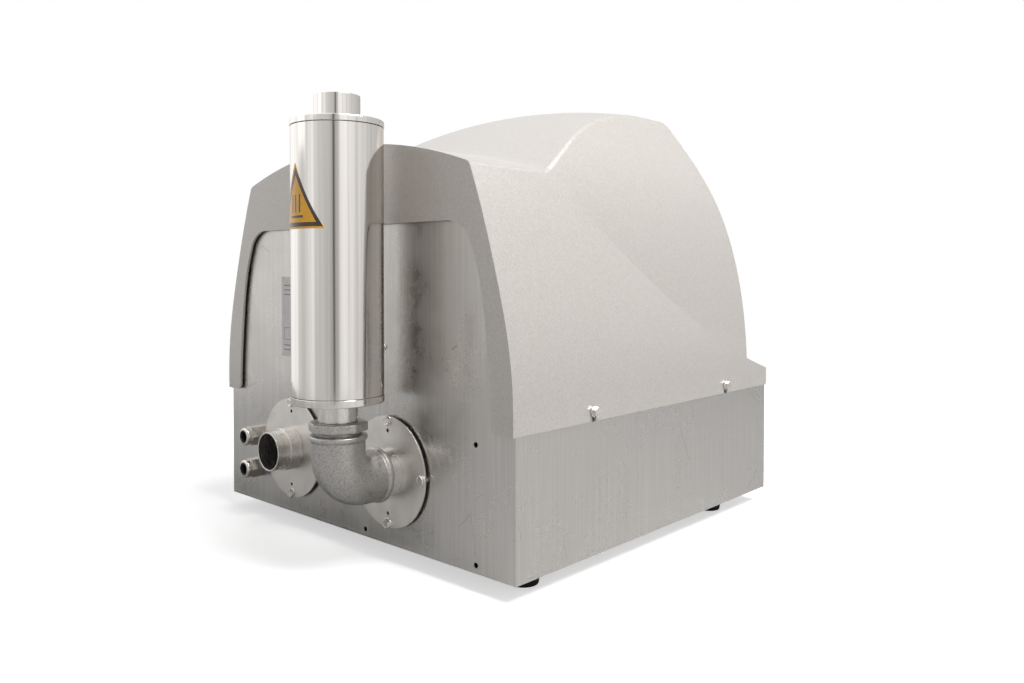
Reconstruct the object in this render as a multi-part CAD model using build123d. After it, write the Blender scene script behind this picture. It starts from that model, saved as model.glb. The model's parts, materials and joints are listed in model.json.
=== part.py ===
from build123d import *
import math
import os

# Enclosed side channel blower unit.
# Frame: X across the unit, +Y from the pipe side to the cowl side, +Z up,
# origin on the floor under the centre of the whole unit.
# Inside the script a place is given as (x, depth, height): depth is measured behind the
# outer face of the rear panel, and height above the underside of the base.

# ------------------------------------------------------------------ driving sizes (mm)
# Base box
base_width = 550.0
base_depth = 543.0
base_height = 150.6
sheet = 2.0
plate_thickness = 4.0
rim_height = 19.0
air_slot_length = 110.0
air_slot_width = 9.0
air_slot_count = 7
air_slot_pitch = 20.0
air_slot_inset = 103.0

# Feet
foot_height = 20.0
foot_diameter = 40.0
foot_taper = 3.0
foot_recess = 9.0
foot_recess_diameter = 16.0
foot_left_inset = 120.0
foot_right_inset = 40.0
foot_rear = 56.0
foot_front_inset = 94.0
foot_screw_size = 8.0
foot_screw_head = 13.0
foot_screw_head_height = 5.0
foot_screw_nut = 6.5

# Hood
hood_wall = 3.0
hood_gap = 0.6
hood_rest_gap = 0.5
seal_thickness = 2.0
seal_width = 9.0
seal_clearance = 0.4
shoulder_lean = 64.6
shoulder_rise = 286.4
shoulder_slope = 0.42
lean_share = 0.39
lean_bulge = 16.0
lean_rise = 21.4
crown_radius = 663.0
rear_rise = 317.4
hump_rise = 86.0
hump_start = 121.0
hump_slope = 0.53
hump_hollow = 45.0
hump_round = 467.0
crease_start = 119.0
crease_rise = 288.4
crease_radius = 894.0
lip_rise = 25.4
cowl_setback = 10.6
cowl_front_radius = 690.0
cowl_middle_rise = 74.4
cowl_start = 96.0
cowl_foot_inset = 14.6
cowl_waist_inset = 36.6
cowl_waist_rise = 179.4
cowl_shoulder_step = 1.2
cowl_brow_inset = 100.6
cowl_brow_rise = 355.4
cowl_crown_inset = 156.6
edge_round = 9.0
brow_round = 22.0
opening_rise = 221.4
opening_leg = 30.6
opening_top_leg = 70.6
opening_lean = 0.4
opening_steps = ((6.5, 94.4), (21.0, 174.4))
opening_corner = 38.0
leg_round = 7.0
foam_thickness = 14.0
foam_gap = 0.5
foam_rear_gap = 8.0
foam_rise = 35.4

# Hood screws
screw_size = 6.0
screw_flats = 10.0
screw_head = 4.0
screw_rise = 11.4
screw_rear = 127.0
screw_front_inset = 119.0
screw_grip = 12.0
nut_thickness = 5.0
washer_diameter = 12.5
washer_thickness = 1.2
slot_clearance = 0.6
moving_gap = 0.5

# Ports, flanges and pipe work
port_height = 86.0
inlet_x = -118.5
outlet_x = 79.5
flange_diameter = 129.0
flange_thickness = 2.0
gasket_thickness = 3.0
gasket_diameter = 121.0
flange_bolt_circle = 119.0
jack_hole_circle = 96.0
jack_hole = 4.5
pipe_diameter = 50.0
pipe_wall = 2.0
collar_diameter = 54.4
inlet_reach = 40.0
inlet_collar_reach = 22.0
pipe_tail = 20.0
pipe_offset = 73.5
elbow_reach = 54.0
elbow_bend = 31.5
elbow_diameter = 59.0
elbow_bore = 41.0
elbow_bead_diameter = 63.4
elbow_bead_width = 6.0
thread_diameter = 47.8
thread_depth = 18.0
bush_flats = 60.0
bush_height = 10.0
bush_gap = 4.0
bush_bore = 34.0

# Silencer
neck_diameter = 43.0
neck_length = 21.0
silencer_diameter = 100.0
silencer_wall = 1.0
silencer_body = 290.5
bottom_cap_height = 8.0
top_cap_height = 7.0
cap_overlap = 0.6
cap_sheet = 2.0
tail_pipe_length = 27.0
tail_neck_diameter = 48.5
core_wall = 1.5
core_hole = 5.0
core_rows = 9
core_holes_round = 8
core_row_pitch = 30.0

# Cable glands
gland_inset = 72.0
gland_upper = 92.0
gland_lower = 48.0
gland_flats = 24.0
gland_thread = 20.0
gland_bore = 13.0
gland_base = 5.0
gland_cap_length = 21.0
gland_seal_step = 2.0

# Panel details
panel_clearance = 3.0
fixing_hole = 6.0
fixing_centre_x = 125.0
fixing_height = 72.5
fixing_width = 187.0
fixing_rise = 127.0
panel_screw_x = 67.3
panel_screw_height = 229.8
data_label_left = -147.5
data_label_width = 74.0
data_label_bottom = 205.0
data_label_rise = 105.0
label_thickness = 0.3
heat_label_side = 80.0
heat_label_turn = 6.0
heat_label_bottom = 362.0

# Blower
shaft_height = 232.0
casing_radius = 150.0
cover_start = 46.5
casing_start = 58.0
casing_end = 118.0
cavity_radius = 128.0
cavity_depth = 40.0
channel_inner = 88.0
channel_outer = 124.0
channel_depth = 8.0
cover_bolt_circle = 278.0
cover_bolt_count = 8
duct_diameter = 70.0
duct_bore = 46.0
duct_end = 190.0
spigot_start = 25.0
foot_block_width = 60.0
rail_width = 44.0
rail_height = 20.0
rail_start = 46.0
rail_end = 206.0
isolator_height = 18.0
isolator_diameter = 30.0
isolator_inset = 22.0
sleeve_wall = 5.0
clamp_width = 9.0
clamp_wall = 1.5

# Motor
motor_radius = 85.0
motor_bore = 70.0
motor_end = 330.0
fin_height = 9.0
fin_width = 3.0
fin_count = 28
stator_start = 165.0
stator_end = 285.0
stator_bore = 42.0
winding_length = 22.0
air_gap = 0.5
shaft_radius = 12.5
shaft_start = 54.0
shaft_end = 388.0
shaft_clearance = 0.05
bore_clearance = 1.0
bearing_radius = 26.0
bearing_width = 14.0
shield_thickness = 14.0
fan_radius = 68.0
fan_blades = 9
fan_start = 354.0
fan_end = 380.0
cowl_cover_radius = 90.0
cowl_cover_end = 404.0
grille_rings = 4
terminal_width = 84.0
terminal_depth = 92.0
terminal_height = 44.0
terminal_start = 196.0
terminal_lid = 5.0

# Impeller
impeller_radius = 124.5
impeller_start = 62.0
impeller_end = 92.0
impeller_web = 6.0
impeller_blades = 32
blade_thickness = 2.4
hub_radius = 24.0
nut_flats = 19.0
nut_height = 6.0

# ------------------------------------------------------------------ derived places
hood_front = base_depth + hood_wall + hood_gap - sheet
hood_back = -(hood_wall + seal_thickness + seal_clearance)
hood_half = base_width / 2 - sheet + hood_gap + hood_wall
hood_bottom = base_height + hood_rest_gap
cowl_front = hood_front - cowl_setback
shoulder_height = base_height + shoulder_rise
lean_start = base_height + lean_rise
rear_apex = base_height + rear_rise
hump_apex = rear_apex + hump_rise
ridge_half = hood_half - shoulder_lean
crown_fall = crown_radius - (crown_radius ** 2 - ridge_half ** 2) ** 0.5
crown_axis = rear_apex - crown_radius
crease_top = (crease_start, base_height + crease_rise)
lip_height = base_height + lip_rise
opening_top = base_height + opening_rise
opening_bottom_half = hood_half - opening_leg
opening_top_half = hood_half - opening_top_leg
foam_bottom = base_height + foam_rise
screw_height = base_height + screw_rise
screw_front = base_depth - screw_front_inset
foot_left = foot_left_inset - base_width / 2
foot_right = base_width / 2 - foot_right_inset
foot_front = base_depth - foot_front_inset
gland_x = gland_inset - base_width / 2
cap_radius = silencer_diameter / 2 + cap_overlap
panel_y = (pipe_offset + cap_radius - hood_front) / 2
base_z = foot_height
below = base_height - 60.0
above = hump_apex + 60.0
flange_front = -(gasket_thickness + flange_thickness)
elbow_face = elbow_reach - pipe_offset
bush_bottom = port_height + elbow_reach + bush_gap
bush_top = bush_bottom + bush_height
silencer_bottom = bush_top + neck_length
shell_bottom = silencer_bottom + bottom_cap_height
shell_top = shell_bottom + silencer_body
silencer_top = shell_top + top_cap_height
shaft_x = (inlet_x + outlet_x) / 2
duct_bottom = port_height - duct_diameter / 2
rail_bottom = plate_thickness + isolator_height
rail_top = rail_bottom + rail_height


# ------------------------------------------------------------------ helpers
def at(x, depth, height):
    """A place in the object's frame, from the script's own three coordinates."""
    return Pos(x, panel_y + depth, base_z + height)


def rod_y(radius, start, end, x, height):
    """Round bar along Y between two depths."""
    return at(x, (start + end) / 2, height) * Cylinder(radius, end - start, rotation=(90, 0, 0))


def tube_y(outer, inner, start, end, x, height):
    """Round tube along Y between two depths."""
    return rod_y(outer, start, end, x, height) - rod_y(inner, start - 1, end + 1, x, height)


def rod_z(radius, bottom, top, x, depth):
    """Upright round bar between two heights."""
    return at(x, depth, (bottom + top) / 2) * Cylinder(radius, top - bottom)


def tube_z(outer, inner, bottom, top, x, depth):
    """Upright round tube between two heights."""
    return rod_z(outer, bottom, top, x, depth) - rod_z(inner, bottom - 1, top + 1, x, depth)


def block(x0, x1, start, end, bottom, top):
    """Rectangular block between two places on each axis."""
    middle = at((x0 + x1) / 2, (start + end) / 2, (bottom + top) / 2)
    return middle * Box(x1 - x0, end - start, top - bottom)


def hex_y(flats, start, end, x, height, sides=6):
    """Bar along Y with flat sides, given across the flats."""
    section = RegularPolygon(flats / 2, sides, major_radius=False)
    bar = extrude(section, (end - start) / 2, both=True)
    return at(x, (start + end) / 2, height) * Rot(90, 0, 0) * bar


def group(solids):
    """Separate solids that share one node."""
    return Compound(children=[piece.solid() for piece in solids])


def save(name, shape):
    """Write one node."""
    export_step(shape, os.path.join("parts", name + ".step"))


def side_face(edges_right):
    """Closed rear-view outline from its right-hand edges, bottom to top, and their mirror."""
    edges_left = [mirror(edge, Plane.YZ) for edge in edges_right]
    low = edges_right[0] @ 0
    high = edges_right[-1] @ 1
    bottom = Line((-low.X, low.Y, low.Z), low)
    top = Line(high, (-high.X, high.Y, high.Z))
    return make_face(edges_right + [top] + edges_left + [bottom])


def along_y(face, start, end):
    """Prism along Y of a face drawn at depth 0 in the (x, height) plane."""
    prism = extrude(face, amount=end - start, dir=(0, 1, 0))
    return at(0, start, 0) * prism


def along_x(face):
    """Prism across the whole unit of a face drawn in the (depth, height) plane."""
    return at(0, 0, 0) * extrude(face, amount=base_width, dir=(1, 0, 0), both=True)


# ------------------------------------------------------------------ hood shapes
def saddle_sides(inset):
    """Rear-view outline of the saddle: upright at the rim, leaning in above it."""
    half = hood_half - inset
    middle_x = half - lean_share * shoulder_lean
    shoulder_x = half - shoulder_lean
    rim = Line((half, 0, below), (half, 0, lean_start))
    lean = Spline(
        (half, 0, lean_start),
        (middle_x, 0, (lean_start + shoulder_height) / 2 + lean_bulge),
        (shoulder_x, 0, shoulder_height),
        tangents=[(0, 0, 1), (-shoulder_slope, 0, 1)],
    )
    end = Line(lean @ 1, (shoulder_x - shoulder_slope * (above - shoulder_height), 0, above))
    return side_face([rim, lean, end])


def cowl_sides(inset):
    """Rear-view outline of the cowl, which stands inside the saddle's sides."""
    half = hood_half - inset
    points = [
        (half - cowl_foot_inset, 0, below),
        (half - cowl_waist_inset, 0, base_height + cowl_waist_rise),
        (half - shoulder_lean - cowl_shoulder_step, 0, shoulder_height),
        (half - cowl_brow_inset, 0, base_height + cowl_brow_rise),
        (half - cowl_crown_inset, 0, above),
    ]
    return side_face([Spline(*points)])


def top_form(inset):
    """Body of revolution about a line along the unit: its skin is the crowned top."""
    rise_end = hump_start + (hump_apex - rear_apex) / hump_slope
    profile = FilletPolyline(
        (0, -60, rear_apex - inset),
        (0, hump_start, rear_apex - inset),
        (0, rise_end, hump_apex - inset),
        (0, hood_front + 60, hump_apex - inset),
        radius=(hump_hollow + inset, hump_round - inset),
    )
    low = crown_axis + 60
    closing = Polyline((0, hood_front + 60, hump_apex - inset), (0, hood_front + 60, low), (0, -60, low),
                       (0, -60, rear_apex - inset))
    body = revolve(make_face(profile.edges() + closing.edges()), Axis((0, 0, crown_axis), (0, 1, 0)))
    return at(0, 0, 0) * body


def circle_centre(first, second, radius):
    """Centre, above the chord, of the circle through two points."""
    half_y = (second[0] - first[0]) / 2
    half_z = (second[1] - first[1]) / 2
    half_chord = math.hypot(half_y, half_z)
    reach = math.sqrt(radius ** 2 - half_chord ** 2) / half_chord
    return first[0] + half_y - half_z * reach, first[1] + half_z + half_y * reach


def crease_form(inset):
    """Region under the crease, the hollow curve where the saddle's sides end."""
    centre_y, centre_z = circle_centre(crease_top, (hood_front, lip_height), crease_radius)
    radius = crease_radius + inset
    start = crease_top[0]
    finish = hood_front + 40
    heights = [centre_z - math.sqrt(radius ** 2 - (y - centre_y) ** 2)
               for y in (start, (start + finish) / 2, finish)]
    arc = ThreePointArc((0, start, heights[0]), (0, (start + finish) / 2, heights[1]), (0, finish, heights[2]))
    rest = Polyline((0, finish, heights[2]), (0, finish, below - 10), (0, -60, below - 10),
                    (0, -60, above + 10), (0, start, above + 10), (0, start, heights[0]))
    return along_x(make_face(arc.edges() + rest.edges()))


def front_form(inset):
    """Region behind the cowl's bowed front, from where the cowl starts."""
    radius = cowl_front_radius - inset
    centre_y = cowl_front - cowl_front_radius
    heights = (below - 10, (below + above) / 2, above + 10)
    middle = base_height + cowl_middle_rise
    depths = [centre_y + math.sqrt(radius ** 2 - (z - middle) ** 2) for z in heights]
    arc = ThreePointArc(*[(0, y, z) for y, z in zip(depths, heights)])
    rest = Polyline((0, depths[2], heights[2]), (0, cowl_start, heights[2]), (0, cowl_start, heights[0]),
                    (0, depths[0], heights[0]))
    return along_x(make_face(arc.edges() + rest.edges()))


def saddle_form(inset, rounded):
    """Rear part of the hood, round the panel, running forward as a falling skirt."""
    prism = along_y(saddle_sides(inset), hood_back + inset, hood_front - inset)
    body = (prism & crease_form(inset)) & top_form(inset)
    if not rounded:
        return body
    ridges = [edge for edge in body.edges() if is_ridge(edge, hood_back + inset, crease_top[0])]
    return fillet(ridges, edge_round - inset / 2)


def is_ridge(edge, start, end):
    """True on the two edges between the crowned top and the sides."""
    middle = edge.center(CenterOf.BOUNDING_BOX)
    box = edge.bounding_box()
    long_enough = box.size.Y > 0.8 * (end - start)
    high_enough = middle.Z > base_z + rear_apex - 1.5 * crown_fall
    return long_enough and high_enough and abs(middle.X) > ridge_half / 2


def is_brow(edge):
    """True on the edge between the crowned top and the bowed front."""
    middle = edge.center(CenterOf.BOUNDING_BOX)
    box = edge.bounding_box()
    wide_and_high = box.size.X > ridge_half and middle.Z > base_z + rear_apex
    return wide_and_high and middle.Y > panel_y + 0.75 * cowl_front


def is_cheek(edge):
    """True on the edges between the cowl's sides and its bowed front."""
    middle = edge.center(CenterOf.BOUNDING_BOX)
    box = edge.bounding_box()
    return box.size.Z > hump_apex / 2.2 and middle.Y > panel_y + 0.75 * cowl_front


def cowl_form(inset, rounded):
    """Front part of the hood: a humped cowl with a bowed front."""
    prism = along_y(cowl_sides(inset), cowl_start, hood_front)
    body = (prism & front_form(inset)) & top_form(inset)
    if not rounded:
        return body
    edges = body.edges()
    brow = [edge for edge in edges if is_brow(edge)]
    body = fillet(brow, brow_round - inset)
    edges = body.edges()
    ridges = [edge for edge in edges if is_ridge(edge, cowl_start, cowl_front - 60) or is_cheek(edge)]
    return fillet(ridges, edge_round - inset / 2)


def hood_form(inset, rounded=True):
    """Whole outer form of the hood, pulled in by a wall or a lining."""
    return saddle_form(inset, rounded) + cowl_form(inset, rounded)


def arch_prism(grow, start, end):
    """Opening in the hood's rear face, made larger all round, as a prism along Y."""
    top = opening_top + grow
    half = opening_bottom_half + grow
    foot = Line((half, 0, below - 20), (half, 0, base_height))
    steps = [(half - step, 0, base_height + rise) for step, rise in opening_steps]
    side = Spline((half, 0, base_height), *steps, (opening_top_half + grow, 0, top),
                  tangents=[(0, 0, 1), (-opening_lean, 0, 1)])
    prism = along_y(side_face([foot, side]), start, end)
    corners = [edge for edge in prism.edges().filter_by(Axis.Y) if edge.center().Z > base_z + top - 1]
    return fillet(corners, opening_corner + grow)


# ------------------------------------------------------------------ hood
def screw_places():
    """The four hood screws, as (side, depth)."""
    return [(side, depth) for side in (-1, 1) for depth in (screw_rear, screw_front)]


def bar_x(radius, x0, x1, depth, height):
    """Round bar along X between two places."""
    return at((x0 + x1) / 2, depth, height) * Cylinder(radius, x1 - x0, rotation=(0, 90, 0))


def hood_shell():
    """One moulded wall, open below and at the rear, with slots that lift off the screws."""
    shell = hood_form(0) - hood_form(hood_wall)
    shell = shell - arch_prism(0, hood_back - 5, seal_clearance)
    shell = shell & block(-base_width, base_width, -50, base_depth + 50, hood_bottom, above)
    slot_radius = screw_size / 2 + slot_clearance
    for side, depth in screw_places():
        x0, x1 = sorted((side * (hood_half - 8), side * (hood_half + 8)))
        shell = shell - bar_x(slot_radius, x0, x1, depth, screw_height)
        shell = shell - block(x0, x1, depth - slot_radius, depth + slot_radius, base_height - 5, screw_height)
    corners = [edge for edge in shell.edges() if is_leg_corner(edge)]
    return fillet(corners, leg_round)


def is_leg_corner(edge):
    """True on the lower inner corners of the two rear legs."""
    middle = edge.center()
    size = edge.bounding_box().size
    low = middle.Z < base_z + hood_bottom + 0.1
    across_wall = size.Y > 0.9 * hood_wall and edge.length < 1.1 * hood_wall
    return low and across_wall and abs(abs(middle.X) - opening_bottom_half) < 0.1


def hood_foam():
    """Acoustic lining bonded inside the hood, clear of the base's rim."""
    skin = hood_wall + foam_gap
    lining = hood_form(skin) - hood_form(skin + foam_thickness, rounded=False)
    room = block(-base_width, base_width, foam_gap + foam_rear_gap, base_depth + 50, foam_bottom, above)
    return lining & room


def arch_seal():
    """Rubber strip behind the rear opening's edge, which closes the gap to the panel."""
    start = hood_back + hood_wall
    end = start + seal_thickness
    strip = arch_prism(seal_width, start, end) - arch_prism(0, start - 1, end + 1)
    return strip & block(-base_width, base_width, start - 1, end + 1, hood_bottom + leg_round, above)


# ------------------------------------------------------------------ base box
def floor_plate():
    """Base plate with air slots under the motor's fan."""
    plate = block(-base_width / 2, base_width / 2, 0, base_depth, 0, plate_thickness)
    for index in range(air_slot_count):
        x = (index - (air_slot_count - 1) / 2) * air_slot_pitch
        middle = at(x, base_depth - air_slot_inset, plate_thickness / 2)
        plate = plate - middle * Box(air_slot_width, air_slot_length, plate_thickness + 2)
    for x, depth in foot_places():
        plate = plate - rod_z(foot_screw_size / 2 + 0.2, -1, plate_thickness + 1, x, depth)
    return plate


def three_sides(outset, wall, bottom, top):
    """Sheet round the left, front and right of the base, set in by outset."""
    half = base_width / 2 - outset
    front = base_depth - outset
    outside = block(-half, half, sheet, front, bottom, top)
    return outside - block(-half + wall, half - wall, sheet - 1, front - wall, bottom - 1, top + 1)


def base_wall():
    """Folded sheet wall; its rim steps in by one sheet so that the hood sits over it."""
    wall = three_sides(0, sheet, plate_thickness, base_height)
    wall = wall + three_sides(0, 2 * sheet, base_height - sheet, base_height)
    wall = wall + three_sides(sheet, sheet, base_height - sheet, base_height + rim_height)
    for side, depth in screw_places():
        x0, x1 = sorted((side * (base_width / 2 - 10), side * (base_width / 2 + 5)))
        wall = wall - bar_x(screw_size / 2, x0, x1, depth, screw_height)
    return wall


def foot_places():
    """Centres of the four feet, as (x, depth)."""
    return [(x, depth) for x in (foot_left, foot_right) for depth in (foot_rear, foot_front)]


def rubber_foot(x, depth):
    """Tapered rubber foot with a recess for its screw head."""
    radius = foot_diameter / 2
    foot = at(x, depth, -foot_height / 2) * Cone(radius - foot_taper, radius, foot_height)
    foot = foot - rod_z(foot_recess_diameter / 2, -foot_height - 1, -foot_height + foot_recess, x, depth)
    return foot - rod_z(foot_screw_size / 2, -foot_height, 1, x, depth)


def foot_screw(x, depth):
    """Screw up through a foot and the base plate, with its nut."""
    seat = foot_recess - foot_height
    head = rod_z(foot_screw_head / 2, seat - foot_screw_head_height, seat, x, depth)
    shank = rod_z(foot_screw_size / 2, seat - 1, plate_thickness + foot_screw_size, x, depth)
    section = RegularPolygon(foot_screw_head / 2, 6, major_radius=False)
    return head + shank + at(x, depth, plate_thickness) * extrude(section, foot_screw_nut)


# ------------------------------------------------------------------ rear panel
def panel_outline():
    """Sheet that closes the whole rear: full width below, following the hood above."""
    inset = hood_wall + panel_clearance
    upper = along_y(saddle_sides(inset), 0, sheet) & top_form(inset + panel_clearance)
    upper = upper & block(-base_width, base_width, -5, 5, base_height - 5, above)
    return upper + block(-base_width / 2, base_width / 2, 0, sheet, plate_thickness, base_height)


def flange_bolt_places(x):
    """Centres of a flange's four bolts, as (x, height)."""
    reach = flange_bolt_circle / 2
    return [(x + reach * math.cos(math.radians(a)), port_height + reach * math.sin(math.radians(a)))
            for a in range(0, 360, 90)]


def fixing_places():
    """Centres of the panel's four free fixing holes, as (x, height)."""
    return [(fixing_centre_x + i * fixing_width / 2, fixing_height + j * fixing_rise / 2)
            for i in (-1, 1) for j in (-1, 1)]


def rear_panel():
    """The panel with its port, gland, bolt and fixing holes."""
    panel = panel_outline()
    for x in (inlet_x, outlet_x):
        panel = panel - rod_y(pipe_diameter / 2 + 1, -5, 5, x, port_height)
        for bolt_x, bolt_height in flange_bolt_places(x):
            panel = panel - rod_y(screw_size / 2, -5, 5, bolt_x, bolt_height)
    for x, height in fixing_places():
        panel = panel - rod_y(fixing_hole / 2, -5, 5, x, height)
    for height in (gland_lower, gland_upper):
        panel = panel - rod_y(gland_thread / 2, -5, 5, gland_x, height)
    return panel - rod_y(2.0, -5, 5, panel_screw_x, panel_screw_height)


def panel_screw():
    """Pan head screw that holds a cable clip behind the panel."""
    head = rod_y(4.0, -2.2, 0, panel_screw_x, panel_screw_height)
    head = fillet(head.edges().group_by(Axis.Y)[0], 1.5)
    return head + rod_y(2.0, -1, sheet + 6, panel_screw_x, panel_screw_height)


def flange(x):
    """Round steel flange with bolt holes and two small jacking holes."""
    plate = tube_y(flange_diameter / 2, pipe_diameter / 2, flange_front, flange_front + flange_thickness,
                   x, port_height)
    for bolt_x, bolt_height in flange_bolt_places(x):
        plate = plate - rod_y(screw_size / 2, flange_front - 1, 0, bolt_x, bolt_height)
    for direction in (-1, 1):
        height = port_height + direction * jack_hole_circle / 2
        plate = plate - rod_y(jack_hole / 2, flange_front - 1, 0, x, height)
    return plate


def flange_gasket(x):
    """Rubber gasket between a flange and the panel."""
    ring = tube_y(gasket_diameter / 2, pipe_diameter / 2 + 1, -gasket_thickness, 0, x, port_height)
    for bolt_x, bolt_height in flange_bolt_places(x):
        ring = ring - rod_y(screw_size / 2, -gasket_thickness - 1, 1, bolt_x, bolt_height)
    return ring


def flange_bolt(x, height):
    """Hexagon bolt through flange, gasket and panel, with its nut inside."""
    head = hex_y(screw_flats, flange_front - screw_head, flange_front, x, height)
    shank = rod_y(screw_size / 2, flange_front - 1, sheet + 8, x, height)
    nut = hex_y(screw_flats, sheet, sheet + nut_thickness, x, height)
    return head + shank + nut


# ------------------------------------------------------------------ pipe work
def inlet_stub():
    """Hose stub through the panel, thicker next to the flange."""
    radius = pipe_diameter / 2
    tube = rod_y(radius, -inlet_reach, pipe_tail, inlet_x, port_height)
    collar = rod_y(collar_diameter / 2, -inlet_collar_reach, flange_front, inlet_x, port_height)
    return tube + collar - rod_y(radius - pipe_wall, -inlet_reach - 1, pipe_tail + 1, inlet_x, port_height)


def outlet_collar():
    """Pipe from the elbow's socket to the blower's port, with a collar against the flange."""
    bore = pipe_diameter / 2 - pipe_wall - 2
    thread = rod_y(thread_diameter / 2, elbow_face - thread_depth, elbow_face + 1, outlet_x, port_height)
    collar = rod_y(collar_diameter / 2, elbow_face, flange_front, outlet_x, port_height)
    tube = rod_y(pipe_diameter / 2, flange_front, pipe_tail, outlet_x, port_height)
    return thread + collar + tube - rod_y(bore, -pipe_offset, pipe_tail + 1, outlet_x, port_height)


def elbow_path(reach):
    """Centre line of the elbow, from the panel side up to the silencer side."""
    return FilletPolyline(
        at(outlet_x, -pipe_offset + reach, port_height).position,
        at(outlet_x, -pipe_offset, port_height).position,
        at(outlet_x, -pipe_offset, port_height + reach).position,
        radius=elbow_bend,
    )


def pipe_elbow():
    """Cast threaded elbow with a bead at each mouth."""
    path = elbow_path(elbow_reach)
    mouth = Plane(path @ 0, z_dir=path % 0)
    body = sweep(mouth * Circle(elbow_diameter / 2), path)
    bead = elbow_bead_diameter / 2
    body = body + rod_y(bead, elbow_face - elbow_bead_width, elbow_face, outlet_x, port_height)
    top = port_height + elbow_reach
    body = body + rod_z(bead, top - elbow_bead_width, top, outlet_x, -pipe_offset)
    rims = [edge for edge in body.edges().filter_by(GeomType.CIRCLE) if abs(edge.radius - bead) < 0.01]
    body = fillet(rims, elbow_bead_width / 4)
    body = body - sweep(mouth * Circle(elbow_bore / 2), path)
    body = body - rod_y(thread_diameter / 2, elbow_face - thread_depth, elbow_face + 1, outlet_x, port_height)
    return body - rod_z(thread_diameter / 2, top - thread_depth, top + 1, outlet_x, -pipe_offset)


def reducing_bush():
    """Eight-sided threaded bush between the elbow and the silencer's neck."""
    section = RegularPolygon(bush_flats / 2, 8, major_radius=False)
    head = at(outlet_x, -pipe_offset, bush_bottom) * extrude(section, bush_height)
    head = chamfer(head.edges().group_by(Axis.Z)[-1], 1.0)
    thread = rod_z(thread_diameter / 2, bush_bottom - bush_gap - thread_depth, bush_bottom + 1, outlet_x,
                   -pipe_offset)
    return head + thread - rod_z(bush_bore / 2, port_height, bush_top + 1, outlet_x, -pipe_offset)


def silencer_neck():
    """Plain tube up into the silencer."""
    return tube_z(neck_diameter / 2, bush_bore / 2, bush_top, silencer_bottom, outlet_x, -pipe_offset)


def silencer_bottom_cap():
    """Lower end cap, a shallow cup round the shell's end."""
    cup = rod_z(cap_radius, silencer_bottom, shell_bottom, outlet_x, -pipe_offset)
    cup = fillet(cup.edges().group_by(Axis.Z)[0], 1.5)
    cup = cup - rod_z(cap_radius - cap_sheet, silencer_bottom + cap_sheet, shell_bottom + 1, outlet_x,
                      -pipe_offset)
    return cup - rod_z(bush_bore / 2, silencer_bottom - 1, shell_bottom, outlet_x, -pipe_offset)


def silencer_shell():
    """Outer tube of the silencer."""
    radius = silencer_diameter / 2
    return tube_z(radius, radius - silencer_wall, shell_bottom, shell_top, outlet_x, -pipe_offset)


def silencer_top_cap():
    """Upper end cap with the hole for the tail pipe."""
    cup = rod_z(cap_radius, shell_top, silencer_top, outlet_x, -pipe_offset)
    cup = fillet(cup.edges().group_by(Axis.Z)[-1], 1.5)
    cup = cup - rod_z(cap_radius - cap_sheet, shell_top - 1, silencer_top - cap_sheet, outlet_x, -pipe_offset)
    return cup - rod_z(tail_neck_diameter / 2, shell_top, silencer_top + 1, outlet_x, -pipe_offset)


def tail_pipe():
    """Short pipe out of the silencer's top, with a shoulder that stands on the cap."""
    radius = pipe_diameter / 2
    inside = radius - pipe_wall
    neck = tube_z(tail_neck_diameter / 2, inside, shell_top + 1, silencer_top, outlet_x, -pipe_offset)
    top = silencer_top + tail_pipe_length
    return neck + tube_z(radius, inside, silencer_top, top, outlet_x, -pipe_offset)


def silencer_core():
    """Perforated inner tube."""
    radius = pipe_diameter / 2 - pipe_wall
    core = tube_z(radius, radius - core_wall, silencer_bottom + cap_sheet, shell_top + 1, outlet_x, -pipe_offset)
    for row in range(core_rows):
        height = shell_bottom + core_row_pitch * (row + 0.8)
        for index in range(core_holes_round // 2):
            turn = 360 / core_holes_round * (index + 0.5 * (row % 2))
            hole = at(outlet_x, -pipe_offset, height) * Rot(0, 0, turn) * Rot(90, 0, 0)
            core = core - hole * Cylinder(core_hole / 2, pipe_diameter)
    return core


def silencer_wool():
    """Absorbing wool packed between the core and the shell."""
    inside = pipe_diameter / 2 - pipe_wall
    outside = silencer_diameter / 2 - silencer_wall
    return tube_z(outside, inside, shell_bottom, shell_top, outlet_x, -pipe_offset)


def heat_label():
    """Triangular sticker wrapped round the silencer, facing the pipe side."""
    radius = silencer_diameter / 2
    ring = tube_z(radius + label_thickness, radius, heat_label_bottom - 5, shell_top, outlet_x, -pipe_offset)
    half = radius * math.sin(heat_label_side / silencer_diameter)
    rise = heat_label_side * math.sin(math.radians(60))
    outline = make_face(Polyline((-half, 0, 0), (half, 0, 0), (0, 0, rise), close=True))
    prism = extrude(outline, amount=silencer_diameter, dir=(0, -1, 0))
    return ring & (at(outlet_x, -pipe_offset, heat_label_bottom) * Rot(0, 0, -heat_label_turn) * prism)


def data_label():
    """Plain data sticker on the panel."""
    return block(data_label_left, data_label_left + data_label_width, -label_thickness, 0, data_label_bottom,
                 data_label_bottom + data_label_rise)


# ------------------------------------------------------------------ cable glands
def gland_places():
    """Heights of the two cable glands."""
    return (gland_lower, gland_upper)


def gland_body(height):
    """Hexagon and thread of a gland, screwed through the panel."""
    body = hex_y(gland_flats, -gland_base, 0, gland_x, height)
    body = body + rod_y(gland_thread / 2, -gland_base - 6, sheet + 9, gland_x, height)
    return body - rod_y(gland_bore / 2 + 0.5, -30, 30, gland_x, height)


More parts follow.
